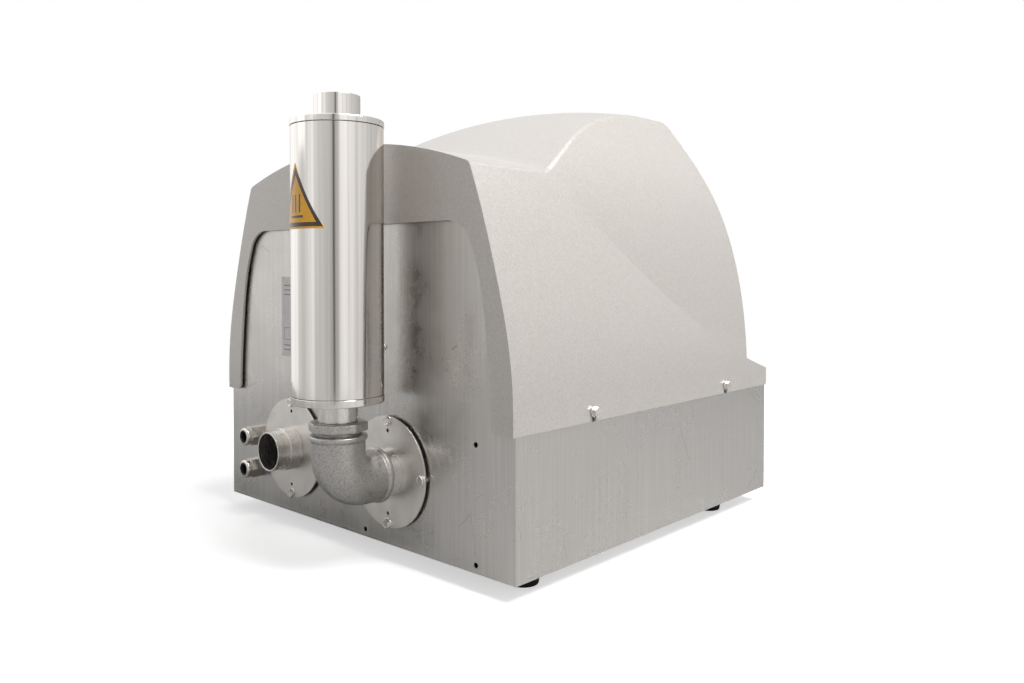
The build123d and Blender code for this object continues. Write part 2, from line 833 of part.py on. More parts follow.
def gland_cap(height):
    """Domed cap nut of a gland."""
    face = -gland_base - 0.3
    tip = -gland_base - gland_cap_length
    grip = hex_y(gland_flats, tip + 8, face, gland_x, height)
    dome = rod_y(gland_flats / 2, tip, tip + 9, gland_x, height)
    dome = fillet(dome.edges().group_by(Axis.Y)[0], 3.0)
    cap = grip + dome - rod_y(gland_thread / 2, -gland_base - 14, 0, gland_x, height)
    return cap - rod_y(gland_bore / 2 + gland_seal_step, tip - 1, 0, gland_x, height)


def gland_seal(height):
    """Rubber ring that grips the cable inside the cap."""
    tip = -gland_base - gland_cap_length
    return tube_y(gland_bore / 2 + gland_seal_step, gland_bore / 2, tip + 1.5, -gland_base - 6.5, gland_x, height)


def gland_locknut(height):
    """Nut that holds a gland from inside the panel."""
    nut = hex_y(gland_flats + 2, sheet, sheet + 5, gland_x, height)
    return nut - rod_y(gland_thread / 2, -1, sheet + 10, gland_x, height)


# ------------------------------------------------------------------ hood fasteners
def along_side(side, shape_start, shape_end):
    """Two X places in rising order on one side of the unit."""
    return sorted((side * shape_start, side * shape_end))


def hood_screw(side, depth):
    """Hexagon screw whose head stands just clear of the hood, so that it can lift."""
    seat = hood_half + moving_gap + washer_thickness
    x0, x1 = along_side(side, base_width / 2 - screw_grip, seat + 0.5)
    shank = bar_x(screw_size / 2, x0, x1, depth, screw_height)
    head = extrude(RegularPolygon(screw_flats / 2, 6, major_radius=False), screw_head / 2, both=True)
    middle = at(side * (seat + screw_head / 2), depth, screw_height)
    return shank + middle * Rot(0, 90, 0) * head


def hood_washer(side, depth):
    """Washer under a hood screw's head."""
    x0, x1 = along_side(side, hood_half + moving_gap, hood_half + moving_gap + washer_thickness)
    disc = bar_x(washer_diameter / 2, x0, x1, depth, screw_height)
    return disc - bar_x(screw_size / 2, x0 - 1, x1 + 1, depth, screw_height)


def rim_nut(side, depth):
    """Weld nut inside the rim."""
    face = base_width / 2 - 2 * sheet
    x0, x1 = along_side(side, face - nut_thickness, face)
    body = extrude(RegularPolygon(screw_flats / 2, 6, major_radius=False), nut_thickness / 2, both=True)
    nut = at((x0 + x1) / 2, depth, screw_height) * Rot(0, 90, 0) * body
    return nut - bar_x(screw_size / 2, x0 - 1, x1 + 1, depth, screw_height)


# ------------------------------------------------------------------ blower
def blower_rail(x):
    """Hollow rail under one duct, standing on two isolators."""
    half = rail_width / 2
    rail = block(x - half, x + half, rail_start, rail_end, rail_bottom, rail_top)
    return rail - block(x - half + sheet, x + half - sheet, rail_start - 1, rail_end + 1, rail_bottom + sheet,
                        rail_top - sheet)


def isolator(x, depth):
    """Rubber block between a rail and the base plate."""
    return rod_z(isolator_diameter / 2, plate_thickness, rail_bottom, x, depth)


def isolator_places():
    """Centres of the four isolators, as (x, depth)."""
    return [(x, depth) for x in (inlet_x, outlet_x)
            for depth in (rail_start + isolator_inset, rail_end - isolator_inset)]


def duct(x):
    """Silencing duct cast in one with the casing: spigot, chamber, feed and foot."""
    body = rod_y(duct_diameter / 2, casing_start, duct_end, x, port_height)
    body = body + rod_y(pipe_diameter / 2, spigot_start, casing_start + 1, x, port_height)
    half = foot_block_width / 2
    body = body + block(x - half, x + half, casing_start + 10, duct_end - 10, rail_top, duct_bottom + 6)
    return body + block(x - 26, x + 26, casing_start, casing_end, port_height, port_height + 62)


def duct_bores(x):
    """Air way through a duct, from the spigot up into the cavity."""
    way = rod_y(pipe_diameter / 2 - pipe_wall, spigot_start - 1, duct_end - 8, x, port_height)
    return way + rod_z(16.0, port_height, port_height + 84, x, casing_start + 20)


def blower_casing():
    """Casing with the impeller's cavity, the side channel and both ducts."""
    casing = rod_y(casing_radius, casing_start, casing_end, shaft_x, shaft_height)
    casing = casing + duct(inlet_x) + duct(outlet_x)
    cavity_end = casing_start + cavity_depth
    casing = casing - rod_y(cavity_radius, casing_start - 1, cavity_end, shaft_x, shaft_height)
    casing = casing - tube_y(channel_outer, channel_inner, cavity_end - 1, cavity_end + channel_depth, shaft_x,
                             shaft_height)
    casing = casing - duct_bores(inlet_x) - duct_bores(outlet_x)
    casing = casing - rod_y(shaft_radius + bore_clearance, casing_start, casing_end + 1, shaft_x, shaft_height)
    seat = casing_end - bearing_width
    return casing - rod_y(bearing_radius, seat, casing_end + 1, shaft_x, shaft_height)


def blower_cover():
    """Cover plate with the second side channel and room for the impeller's nut."""
    cover = rod_y(casing_radius, cover_start, casing_start, shaft_x, shaft_height)
    groove = casing_start - channel_depth
    cover = cover - tube_y(channel_outer, channel_inner, groove, casing_start + 1, shaft_x, shaft_height)
    return cover - rod_y(hub_radius, cover_start + 3.5, casing_start + 1, shaft_x, shaft_height)


def cover_screw(index):
    """Socket screw round the cover's edge."""
    turn = math.radians((index + 0.5) * 360 / cover_bolt_count)
    x = shaft_x + cover_bolt_circle / 2 * math.cos(turn)
    height = shaft_height + cover_bolt_circle / 2 * math.sin(turn)
    head = rod_y(5.0, cover_start - 6, cover_start, x, height)
    return head - hex_y(5.0, cover_start - 7, cover_start - 3, x, height)


def sleeve(x):
    """Rubber sleeve joining a pipe's tail to the blower's spigot."""
    return tube_y(pipe_diameter / 2 + sleeve_wall, pipe_diameter / 2, pipe_tail - 12, spigot_start + 19, x,
                  port_height)


def sleeve_clamp(x, start):
    """Band clamp round a sleeve."""
    inside = pipe_diameter / 2 + sleeve_wall
    band = tube_y(inside + clamp_wall, inside, start, start + clamp_width, x, port_height)
    lug = block(x - 4, x + 4, start + 1, start + clamp_width - 1, port_height + inside + 0.5,
                port_height + inside + 9)
    return band + lug


# ------------------------------------------------------------------ motor
def motor_housing():
    """Finned barrel with a pad for the terminal box."""
    barrel = rod_y(motor_radius, casing_end, motor_end, shaft_x, shaft_height)
    middle = at(shaft_x, (casing_end + motor_end) / 2, shaft_height)
    fin_length = motor_end - casing_end - 26
    for index in range(fin_count):
        fin = Pos(0, 0, motor_radius + fin_height / 2 - 1) * Box(fin_width, fin_length, fin_height + 2)
        barrel = barrel + middle * Rot(0, index * 360 / fin_count, 0) * fin
    half = terminal_width / 2
    barrel = barrel + block(shaft_x - half, shaft_x + half, terminal_start, terminal_start + terminal_depth,
                            shaft_height, shaft_height + motor_radius + fin_height + 2)
    return barrel - rod_y(motor_bore, casing_end - 1, motor_end + 1, shaft_x, shaft_height)


def stator_core():
    """Laminated stator ring."""
    return tube_y(motor_bore, stator_bore, stator_start, stator_end, shaft_x, shaft_height)


def winding_head(start):
    """Bound end turns of the winding."""
    ring = tube_y(motor_bore - 4, stator_bore + 4, start, start + winding_length, shaft_x, shaft_height)
    return fillet(ring.edges().filter_by(GeomType.CIRCLE), 5.0)


def end_shield():
    """Shield that closes the barrel and carries the fan-side bearing."""
    radius = cowl_cover_radius - 1.5
    return tube_y(radius, bearing_radius, motor_end, motor_end + shield_thickness, shaft_x, shaft_height)


def bearing(start):
    """Ball bearing as one ring with shallow faces between its races."""
    inside = shaft_radius + shaft_clearance
    ring = tube_y(bearing_radius, inside, start, start + bearing_width, shaft_x, shaft_height)
    race = tube_y(bearing_radius - 4, inside + 4, start - 1, start + 1.2, shaft_x, shaft_height)
    other = tube_y(bearing_radius - 4, inside + 4, start + bearing_width - 1.2, start + bearing_width + 1,
                   shaft_x, shaft_height)
    return ring - race - other


def fan_cover():
    """Sheet cover over the cooling fan, with a ring grille."""
    start = motor_end - 8
    cover = tube_y(cowl_cover_radius, cowl_cover_radius - 1.5, start + 8, cowl_cover_end, shaft_x, shaft_height)
    end = rod_y(cowl_cover_radius, cowl_cover_end, cowl_cover_end + 1.5, shaft_x, shaft_height)
    pitch = (cowl_cover_radius - 26) / grille_rings
    slots = None
    for index in range(grille_rings):
        inner = 16 + index * pitch
        ring = tube_y(inner + pitch * 0.55, inner, cowl_cover_end - 1, cowl_cover_end + 3, shaft_x, shaft_height)
        slots = ring if slots is None else slots + ring
    arm = at(shaft_x, cowl_cover_end, shaft_height)
    for turn in (0, 60, 120):
        slots = slots - arm * Rot(0, turn, 0) * Box(2 * cowl_cover_radius, 20, 5)
    return cover + (end - slots)


def terminal_box():
    """Open terminal box with a cable entry."""
    half = terminal_width / 2
    bottom = shaft_height + motor_radius + fin_height + 2
    top = bottom + terminal_height
    end = terminal_start + terminal_depth
    box = block(shaft_x - half, shaft_x + half, terminal_start, end, bottom, top)
    box = fillet(box.edges().filter_by(Axis.Z), 6.0)
    box = box - block(shaft_x - half + 4, shaft_x + half - 4, terminal_start + 4, end - 4, bottom + 4, top + 1)
    return box - bar_x(8.0, shaft_x - half - 1, shaft_x - half + 5, (terminal_start + end) / 2, bottom + 22)


def terminal_cover():
    """Flat lid of the terminal box."""
    half = terminal_width / 2
    bottom = shaft_height + motor_radius + fin_height + 2 + terminal_height
    lid = block(shaft_x - half, shaft_x + half, terminal_start, terminal_start + terminal_depth, bottom,
                bottom + terminal_lid)
    lid = fillet(lid.edges().filter_by(Axis.Z), 6.0)
    return chamfer(lid.edges().group_by(Axis.Z)[-1], 1.5)


# ------------------------------------------------------------------ rotor
def motor_shaft():
    """Shaft through the impeller, both bearings and the fan."""
    shaft = rod_y(shaft_radius, shaft_start, shaft_end, shaft_x, shaft_height)
    ends = shaft.edges().filter_by(GeomType.CIRCLE)
    return chamfer(ends, 1.0)


def rotor_core():
    """Laminated rotor on the shaft."""
    return tube_y(stator_bore - air_gap, shaft_radius, stator_start, stator_end, shaft_x, shaft_height)


def impeller():
    """Hub, web and two rows of radial blades in one wheel."""
    middle = (impeller_start + impeller_end) / 2
    wheel = rod_y(impeller_radius, middle - impeller_web / 2, middle + impeller_web / 2, shaft_x, shaft_height)
    wheel = wheel + rod_y(hub_radius, casing_start + 1, impeller_end, shaft_x, shaft_height)
    centre = at(shaft_x, middle, shaft_height)
    span = impeller_radius - channel_inner
    for index in range(impeller_blades):
        blade = Pos(channel_inner + span / 2 - 0.6, 0, 0) * Box(span, impeller_end - impeller_start,
                                                               blade_thickness)
        wheel = wheel + centre * Rot(0, index * 360 / impeller_blades, 0) * blade
    return wheel - rod_y(shaft_radius, shaft_start - 5, impeller_end + 1, shaft_x, shaft_height)


def impeller_nut():
    """Nut that clamps the impeller on the shaft."""
    start = casing_start + 1 - nut_height
    nut = hex_y(nut_flats * 1.6, start, start + nut_height, shaft_x, shaft_height)
    return nut - rod_y(shaft_radius, start - 1, start + nut_height + 1, shaft_x, shaft_height)


def cooling_fan():
    """Straight-bladed fan at the shaft's end."""
    wheel = rod_y(shaft_radius + 8, fan_start, fan_end, shaft_x, shaft_height)
    wheel = wheel + rod_y(fan_radius - 6, fan_start, fan_start + 3, shaft_x, shaft_height)
    centre = at(shaft_x, (fan_start + fan_end) / 2, shaft_height)
    span = fan_radius - shaft_radius - 4
    for index in range(fan_blades):
        blade = Pos(fan_radius - span / 2, 0, 0) * Box(span, fan_end - fan_start, 2.5)
        wheel = wheel + centre * Rot(0, index * 360 / fan_blades, 0) * blade
    return wheel - rod_y(shaft_radius, fan_start - 1, fan_end + 1, shaft_x, shaft_height)


# ------------------------------------------------------------------ build
os.makedirs("parts", exist_ok=True)

save("hood_shell", hood_shell())
save("hood_foam", hood_foam())
save("arch_seal", arch_seal())

save("floor_plate", floor_plate())
save("base_wall", base_wall())
save("rear_panel", rear_panel())
save("panel_screw", panel_screw())
for number, (foot_x, foot_depth) in enumerate(foot_places(), start=1):
    save("rubber_foot_" + str(number), rubber_foot(foot_x, foot_depth))
save("foot_screws", group([foot_screw(x, depth) for x, depth in foot_places()]))

save("inlet_flange", flange(inlet_x))
save("outlet_flange", flange(outlet_x))
save("inlet_gasket", flange_gasket(inlet_x))
save("outlet_gasket", flange_gasket(outlet_x))
save("flange_bolts", group([flange_bolt(x, height) for port in (inlet_x, outlet_x)
                            for x, height in flange_bolt_places(port)]))
save("inlet_stub", inlet_stub())
save("outlet_collar", outlet_collar())
save("pipe_elbow", pipe_elbow())
save("reducing_bush", reducing_bush())

save("silencer_neck", silencer_neck())
save("silencer_bottom_cap", silencer_bottom_cap())
save("silencer_shell", silencer_shell())
save("silencer_top_cap", silencer_top_cap())
save("tail_pipe", tail_pipe())
save("silencer_core", silencer_core())
save("silencer_wool", silencer_wool())
save("heat_label", heat_label())
save("data_label", data_label())

save("gland_bodies", group([gland_body(height) for height in gland_places()]))
save("gland_caps", group([gland_cap(height) for height in gland_places()]))
save("gland_seals", group([gland_seal(height) for height in gland_places()]))
save("gland_locknuts", group([gland_locknut(height) for height in gland_places()]))

save("hood_screws", group([hood_screw(side, depth) for side, depth in screw_places()]))
save("hood_washers", group([hood_washer(side, depth) for side, depth in screw_places()]))
save("rim_nuts", group([rim_nut(side, depth) for side, depth in screw_places()]))

save("left_rail", blower_rail(inlet_x))
save("right_rail", blower_rail(outlet_x))
save("vibration_mounts", group([isolator(x, depth) for x, depth in isolator_places()]))
save("blower_casing", blower_casing())
save("blower_cover", blower_cover())
save("cover_screws", group([cover_screw(index) for index in range(cover_bolt_count)]))
save("inlet_sleeve", sleeve(inlet_x))
save("outlet_sleeve", sleeve(outlet_x))
save("sleeve_clamps", group([sleeve_clamp(x, start) for x in (inlet_x, outlet_x)
                             for start in (pipe_tail - 10, spigot_start + 8)]))

save("motor_housing", motor_housing())
save("stator_core", stator_core())
save("stator_windings", group([winding_head(stator_start - winding_length), winding_head(stator_end)]))
save("end_shield", end_shield())
save("drive_bearing", bearing(casing_end - bearing_width))
save("fan_bearing", bearing(motor_end))
save("fan_cover", fan_cover())
save("terminal_box", terminal_box())
save("terminal_cover", terminal_cover())

save("motor_shaft", motor_shaft())
save("rotor_core", rotor_core())
save("impeller", impeller())
save("impeller_nut", impeller_nut())
save("cooling_fan", cooling_fan())
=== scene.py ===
import json
import math

import bpy
from mathutils import Matrix, Vector


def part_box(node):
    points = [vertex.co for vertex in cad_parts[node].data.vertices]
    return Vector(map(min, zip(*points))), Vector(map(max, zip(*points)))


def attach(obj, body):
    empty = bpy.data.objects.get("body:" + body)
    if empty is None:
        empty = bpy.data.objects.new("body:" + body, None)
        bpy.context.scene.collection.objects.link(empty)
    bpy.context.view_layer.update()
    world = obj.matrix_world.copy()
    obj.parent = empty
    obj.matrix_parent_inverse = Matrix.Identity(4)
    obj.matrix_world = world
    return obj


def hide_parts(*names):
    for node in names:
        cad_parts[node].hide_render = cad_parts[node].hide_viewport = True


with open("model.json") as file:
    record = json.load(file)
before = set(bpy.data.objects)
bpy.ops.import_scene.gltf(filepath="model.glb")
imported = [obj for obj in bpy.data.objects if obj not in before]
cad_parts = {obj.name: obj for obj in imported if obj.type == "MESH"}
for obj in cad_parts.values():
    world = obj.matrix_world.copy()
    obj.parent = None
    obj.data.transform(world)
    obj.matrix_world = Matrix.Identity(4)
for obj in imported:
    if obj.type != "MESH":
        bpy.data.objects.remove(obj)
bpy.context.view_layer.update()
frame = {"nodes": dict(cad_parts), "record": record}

bl_info = {
    "name": "Side Channel Blower Unit",
    "version": (1, 0, 0),
    "blender": (4, 5, 0),
    "location": "3D View > Sidebar > Blower Unit",
    "description": "Finishes an enclosed side channel blower unit around its CAD frame",
    "category": "Object",
}

MM = 0.001
MATH = "ShaderNodeMath"
NOISE = "ShaderNodeTexNoise"
VORONOI = "ShaderNodeTexVoronoi"
WAVE = "ShaderNodeTexWave"
# A wave texture's bands repeat this many times in one unit of its coordinates.
WAVE_TURN = 6.3
SMOOTH_ANGLE = math.radians(35)
RING_SIDES = 144

BODY_OF = {node: body for body, nodes in frame["record"]["behaviour"]["bodies"].items() for node in nodes}
SLOT_OF = {name: node.data.materials[0].name for name, node in frame["nodes"].items()}


# ------------------------------------------------------------------ places from the frame
def node_middle(node):
    """Middle of a CAD node's box, in metres."""
    low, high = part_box(node)
    return (low + high) / 2


panel_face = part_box("rear_panel")[0].y
flange_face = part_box("inlet_flange")[0].y
inlet_axis = node_middle("inlet_stub")
inlet_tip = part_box("inlet_stub")[0].y
silencer_axis = node_middle("silencer_shell")


# ------------------------------------------------------------------ colours and nodes
def linear(code):
    """Linear colour of an sRGB hex code."""
    channels = [int(code[i:i + 2], 16) / 255 for i in (1, 3, 5)]
    return (*[c / 12.92 if c <= 0.04045 else ((c + 0.055) / 1.055) ** 2.4 for c in channels], 1.0)


def per_mm(size):
    """Texture scale that makes a pattern's features this many millimetres across."""
    return 1000 / size


def add_node(tree, kind, inputs=None, stops=None, feeds=None, **settings):
    """Adds one shader node: its settings, its inputs, its ramp's stops and the socket that it feeds.

    Inputs are a list in order or go by name. Each is a value, a socket, or a node for its first output.
    """
    made = tree.nodes.new(kind)
    for name, value in settings.items():
        setattr(made, name, value)
    for name, value in enumerate(inputs) if isinstance(inputs, list) else (inputs or {}).items():
        if isinstance(value, bpy.types.Node):
            value = value.outputs[0]
        if isinstance(value, bpy.types.NodeSocket):
            tree.links.new(value, made.inputs[name])
        else:
            made.inputs[name].default_value = value
    if stops:
        elements = made.color_ramp.elements
        while len(elements) < len(stops):
            elements.new(1.0)
        for element, (position, colour) in zip(elements, stops):
            element.position = position
            element.color = linear(colour) if isinstance(colour, str) else (colour, colour, colour, 1.0)
    if feeds:
        tree.links.new(made.outputs[0], feeds)
    return made


def new_finish(name, values):
    """A new material: its tree, its shader with its constant values, and Object coordinates."""
    material = bpy.data.materials.new(name)
    material.use_nodes = True
    tree = material.node_tree
    shader = tree.nodes["Principled BSDF"]
    for socket, value in values.items():
        shader.inputs[socket].default_value = value
    place = add_node(tree, "ShaderNodeTexCoord").outputs["Object"]
    return material, tree, shader, place


# ------------------------------------------------------------------ settings
class HoodLook(bpy.types.PropertyGroup):
    """Sizes and colours of the moulded hood and its lining."""
    paint: bpy.props.FloatVectorProperty(
        name="Paint", description="Colour of the hood's metallic paint", subtype="COLOR", size=4,
        default=linear("#C9C4BE"), min=0.0, max=1.0)
    paint_shade: bpy.props.FloatVectorProperty(
        name="Paint shade", description="Darker flakes in the hood's paint", subtype="COLOR", size=4,
        default=linear("#B7B2AC"), min=0.0, max=1.0)
    edge_rounding: bpy.props.FloatProperty(
        name="Edge rounding", description="Rounding of the moulding's rear and lower edges",
        default=1.6 * MM, min=0.0002, max=0.003, unit="LENGTH", precision=4)
    grain: bpy.props.FloatProperty(
        name="Grain", description="Size of the grain that glitters in the paint", default=1.3 * MM,
        min=0.0002, max=0.01, unit="LENGTH", precision=4)
    foam_cell: bpy.props.FloatProperty(
        name="Foam pitch", description="Distance between the lining's moulded peaks", default=26 * MM,
        min=0.01, max=0.06, unit="LENGTH", precision=4)
    foam_depth: bpy.props.FloatProperty(
        name="Foam depth", description="Depth of the lining's hollows below its peaks", default=7 * MM,
        min=0.001, max=0.01, unit="LENGTH", precision=4)


class SheetLook(bpy.types.PropertyGroup):
    """Sizes and colours of the base box, the rear panel and the flanges."""
    zinc: bpy.props.FloatVectorProperty(
        name="Galvanised sheet", description="Colour of the zinc coating", subtype="COLOR", size=4,
        default=linear("#C4C1BD"), min=0.0, max=1.0)
    edge_break: bpy.props.FloatProperty(
        name="Edge break", description="Rounding of the sheet's cut and folded edges", default=0.4 * MM,
        min=0.0001, max=0.001, unit="LENGTH", precision=5)
    spangle: bpy.props.FloatProperty(
        name="Spangle", description="Size of the zinc's crystals", default=9 * MM, min=0.001, max=0.05,
        unit="LENGTH", precision=4)


class PipeLook(bpy.types.PropertyGroup):
    """Sizes of the silencer, the pipe work and their fasteners."""
    mouth_rounding: bpy.props.FloatProperty(
        name="Mouth rounding", description="Rounding of the pipes' open ends", default=0.5 * MM,
        min=0.0001, max=0.0009, unit="LENGTH", precision=5)
    seam_gap: bpy.props.FloatProperty(
        name="Seam gap", description="Joint between the silencer's shell and its caps", default=0.5 * MM,
        min=0.0001, max=0.001, unit="LENGTH", precision=5)
    cast_voxel: bpy.props.FloatProperty(
        name="Casting detail", description="Size of the faces that the castings are rebuilt with",
        default=1.0 * MM, min=0.0005, max=0.003, unit="LENGTH", precision=5)
    cast_roughness: bpy.props.FloatProperty(
        name="Casting roughness", description="Height of the casting's sand-mould texture",
        default=0.25 * MM, min=0.0, max=0.001, unit="LENGTH", precision=5)


class StageLook(bpy.types.PropertyGroup):
    """Sizes of the studio round the unit."""
    floor_radius: bpy.props.FloatProperty(
        name="Floor radius", description="Radius of the studio floor", default=1.6, min=0.5, max=6.0,
        unit="LENGTH")
    floor: bpy.props.FloatVectorProperty(
        name="Floor colour", description="Colour of the studio floor", subtype="COLOR", size=4,
        default=linear("#F4F4F4"), min=0.0, max=1.0)
    lens: bpy.props.FloatProperty(
        name="Lens", description="Focal length of the camera, in millimetres", default=29.87, min=10.0,
        max=200.0)


# ------------------------------------------------------------------ finishes
def hood_paint():
    """Metallic paint on a glass-fibre moulding: warm grey, satin, with a grain that glitters."""
    look = bpy.context.scene.hood_look
    material, tree, shader, place = new_finish("metallic_paint_on_glass_fibre", {
        "Metallic": 0.3, "Coat Weight": 0.5, "Coat Roughness": 0.2, "Coat IOR": 1.5})
    # Flakes of about 0.05 mm are drawn as coarse as the grain, so that they show.
    flakes = add_node(tree, VORONOI, {"Vector": place, "Scale": 1 / look.grain})
    share = add_node(tree, "ShaderNodeRGBToBW", {"Color": flakes.outputs["Color"]}).outputs["Val"]
    add_node(tree, "ShaderNodeMixRGB", {"Fac": share, "Color1": look.paint_shade, "Color2": look.paint},
             feeds=shader.inputs["Base Color"])
    add_node(tree, "ShaderNodeMapRange", {"Value": share, "To Min": 0.3, "To Max": 0.42},
             feeds=shader.inputs["Roughness"])
    peel = add_node(tree, NOISE, {"Vector": place, "Scale": per_mm(14), "Detail": 2.0})
    grain = add_node(tree, NOISE, {"Vector": place, "Scale": 1 / look.grain, "Detail": 1.0})
    wavy = add_node(tree, "ShaderNodeBump",
                    {"Height": peel.outputs["Fac"], "Strength": 0.5, "Distance": 0.25 * MM})
    add_node(tree, "ShaderNodeBump",
             {"Height": grain.outputs["Fac"], "Strength": 0.6, "Distance": 0.16 * MM, "Normal": wavy},
             feeds=shader.inputs["Normal"])
    return material


def galvanised_sheet():
    """Hot-dip galvanised steel sheet, rolled: faint crystals, fine upright lines, scratches."""
    look = bpy.context.scene.sheet_look
    material, tree, shader, place = new_finish("rolled_galvanised_steel_sheet", {"Metallic": 1.0})
    crystals = add_node(tree, VORONOI, {"Vector": place, "Scale": 1 / look.spangle})
    smudges = add_node(tree, NOISE, {"Vector": place, "Scale": per_mm(75), "Detail": 7.0,
                                                    "Roughness": 0.62})
    lines = add_node(tree, NOISE, {"Vector": add_node(tree, "ShaderNodeMapping",
                                                      {"Vector": place, "Scale": (1, 1, 0.015)}),
                                                  "Scale": per_mm(2.2), "Detail": 3.0})
    share = add_node(tree, "ShaderNodeRGBToBW", {"Color": crystals.outputs["Color"]}).outputs["Val"]
    patchy = add_node(tree, MATH, [share, 0.12, smudges.outputs["Fac"]],
                      operation="MULTIPLY_ADD")
    add_node(tree, "ShaderNodeMapRange", {"Value": patchy.outputs["Value"], "From Min": 0.35,
                                                  "From Max": 0.75, "To Min": 0.2, "To Max": 0.4},
                                                  feeds=shader.inputs["Roughness"])
    # Long thin cell borders, kept only where a broad noise is high, read as handling scratches.
    cells = add_node(tree, VORONOI, {"Vector": add_node(tree, "ShaderNodeMapping",
                                                        {"Vector": place, "Scale": (1, 1, 0.45)}),
                                                    "Scale": per_mm(95)}, feature="DISTANCE_TO_EDGE")
    thin = add_node(tree, MATH, [cells.outputs["Distance"], 0.0022], operation="LESS_THAN")
    where = add_node(tree, NOISE, {"Vector": place, "Scale": per_mm(48), "Detail": 1.0})
    kept = add_node(tree, MATH, [where.outputs["Fac"], 0.63], operation="GREATER_THAN")
    marks = add_node(tree, MATH, [thin.outputs["Value"], kept.outputs["Value"]],
                     operation="MULTIPLY")
    shade = add_node(tree, "ShaderNodeValToRGB", {"Fac": lines.outputs["Fac"]},
                     stops=[(0.3, "#B7B4B0"), (0.7, "#CCC9C5")])
    toned = add_node(tree, "ShaderNodeMixRGB", {"Fac": 0.5, "Color1": look.zinc,
                                                "Color2": shade.outputs["Color"]})
    add_node(tree, "ShaderNodeMixRGB", {"Fac": marks.outputs["Value"], "Color1": toned.outputs["Color"],
                                                 "Color2": linear("#A5A19D")},
             feeds=shader.inputs["Base Color"])
    buckle = add_node(tree, NOISE, {"Vector": place, "Scale": per_mm(170), "Detail": 1.0})
    wavy = add_node(tree, "ShaderNodeBump",
                    {"Height": buckle.outputs["Fac"], "Strength": 0.6, "Distance": 1.2 * MM})
    fine = add_node(tree, MATH, [lines.outputs["Fac"], marks.outputs["Value"]],
                    operation="SUBTRACT")
    add_node(tree, "ShaderNodeBump",
             {"Height": fine.outputs["Value"], "Strength": 0.5, "Distance": 0.02 * MM, "Normal": wavy},
             feeds=shader.inputs["Normal"])
    return material


def flange_steel():
    """Laser-cut steel plate, satin nickelled: pale, even, with a soft cloudy sheen."""
    material, tree, shader, place = new_finish("satin_nickelled_steel_plate", {"Metallic": 1.0})
    cloud = add_node(tree, NOISE, {"Vector": place, "Scale": per_mm(22), "Detail": 5.0})
    add_node(tree, "ShaderNodeMapRange", {"Value": cloud.outputs["Fac"], "To Min": 0.28, "To Max": 0.5},
             feeds=shader.inputs["Roughness"])
    add_node(tree, "ShaderNodeValToRGB", {"Fac": cloud.outputs["Fac"]},
                    stops=[(0.3, "#D2CEC9"), (0.7, "#E1DDD8")], feeds=shader.inputs["Base Color"])
    grit = add_node(tree, NOISE, {"Vector": place, "Scale": per_mm(0.9), "Detail": 2.0})
    add_node(tree, "ShaderNodeBump",
             {"Height": grit.outputs["Fac"], "Strength": 0.5, "Distance": 0.02 * MM},
             feeds=shader.inputs["Normal"])
    return material


def cast_fitting():
    """Galvanised malleable iron, sand cast: matt silver with dark pores and bright bare spots."""
    material, tree, shader, place = new_finish("galvanised_malleable_iron", {"Metallic": 0.9})
    sand = add_node(tree, NOISE, {"Vector": place, "Scale": per_mm(1.6), "Detail": 6.0,
                                                 "Roughness": 0.65})
    clouds = add_node(tree, NOISE, {"Vector": place, "Scale": per_mm(11), "Detail": 4.0})
    add_node(tree, "ShaderNodeValToRGB", {"Fac": sand.outputs["Fac"]},
                    stops=[(0.3, "#85827E"), (0.5, "#ACA9A5"), (0.75, "#C6C3BF")],
                    feeds=shader.inputs["Base Color"])
    add_node(tree, "ShaderNodeMapRange", {"Value": clouds.outputs["Fac"], "From Min": 0.35,
                                                  "From Max": 0.65, "To Min": 0.3, "To Max": 0.55},
                                                  feeds=shader.inputs["Roughness"])
    lumpy = add_node(tree, "ShaderNodeBump",
                     {"Height": clouds.outputs["Fac"], "Strength": 0.5, "Distance": 0.5 * MM})
    add_node(tree, "ShaderNodeBump",
             {"Height": sand.outputs["Fac"], "Strength": 0.7, "Distance": 0.18 * MM, "Normal": lumpy},
             feeds=shader.inputs["Normal"])
    return material


def black_rubber():
    """Moulded black rubber: nearly black, matt, with a dusty grain."""
    material, tree, shader, place = new_finish("moulded_black_rubber", {"Specular IOR Level": 0.4})
    dust = add_node(tree, NOISE, {"Vector": place, "Scale": per_mm(5), "Detail": 6.0})
    add_node(tree, "ShaderNodeValToRGB", {"Fac": dust.outputs["Fac"]},
                    stops=[(0.35, "#0A0A0A"), (0.75, "#1B1A19")], feeds=shader.inputs["Base Color"])
    add_node(tree, "ShaderNodeMapRange", {"Value": dust.outputs["Fac"], "To Min": 0.5, "To Max": 0.8},
             feeds=shader.inputs["Roughness"])
    grain = add_node(tree, NOISE, {"Vector": place, "Scale": per_mm(0.6), "Detail": 2.0})
    add_node(tree, "ShaderNodeBump",
             {"Height": grain.outputs["Fac"], "Strength": 0.6, "Distance": 0.05 * MM},
             feeds=shader.inputs["Normal"])
    return material


def triangle_depth(tree, across, up, half, rise):
    """Distance inside an upright triangle with a level base, less than 0 outside it."""
    lean = math.atan2(rise, half)
    side = add_node(tree, MATH, [across], operation="ABSOLUTE")
    lifted = add_node(tree, MATH, [up, math.cos(lean)], operation="MULTIPLY")
    reached = add_node(tree, MATH, [side, math.sin(lean), lifted], operation="MULTIPLY_ADD")
    sloped = add_node(tree, MATH, [half * math.sin(lean), reached], operation="SUBTRACT")
    return add_node(tree, MATH, [up, sloped], operation="MINIMUM")


def inside(tree, value, low, high):
    """1 where a value lies between two limits, else 0."""
    above = add_node(tree, MATH, [value, low], operation="GREATER_THAN")
    below = add_node(tree, MATH, [value, high], operation="LESS_THAN")
    return add_node(tree, MATH, [above, below], operation="MULTIPLY")


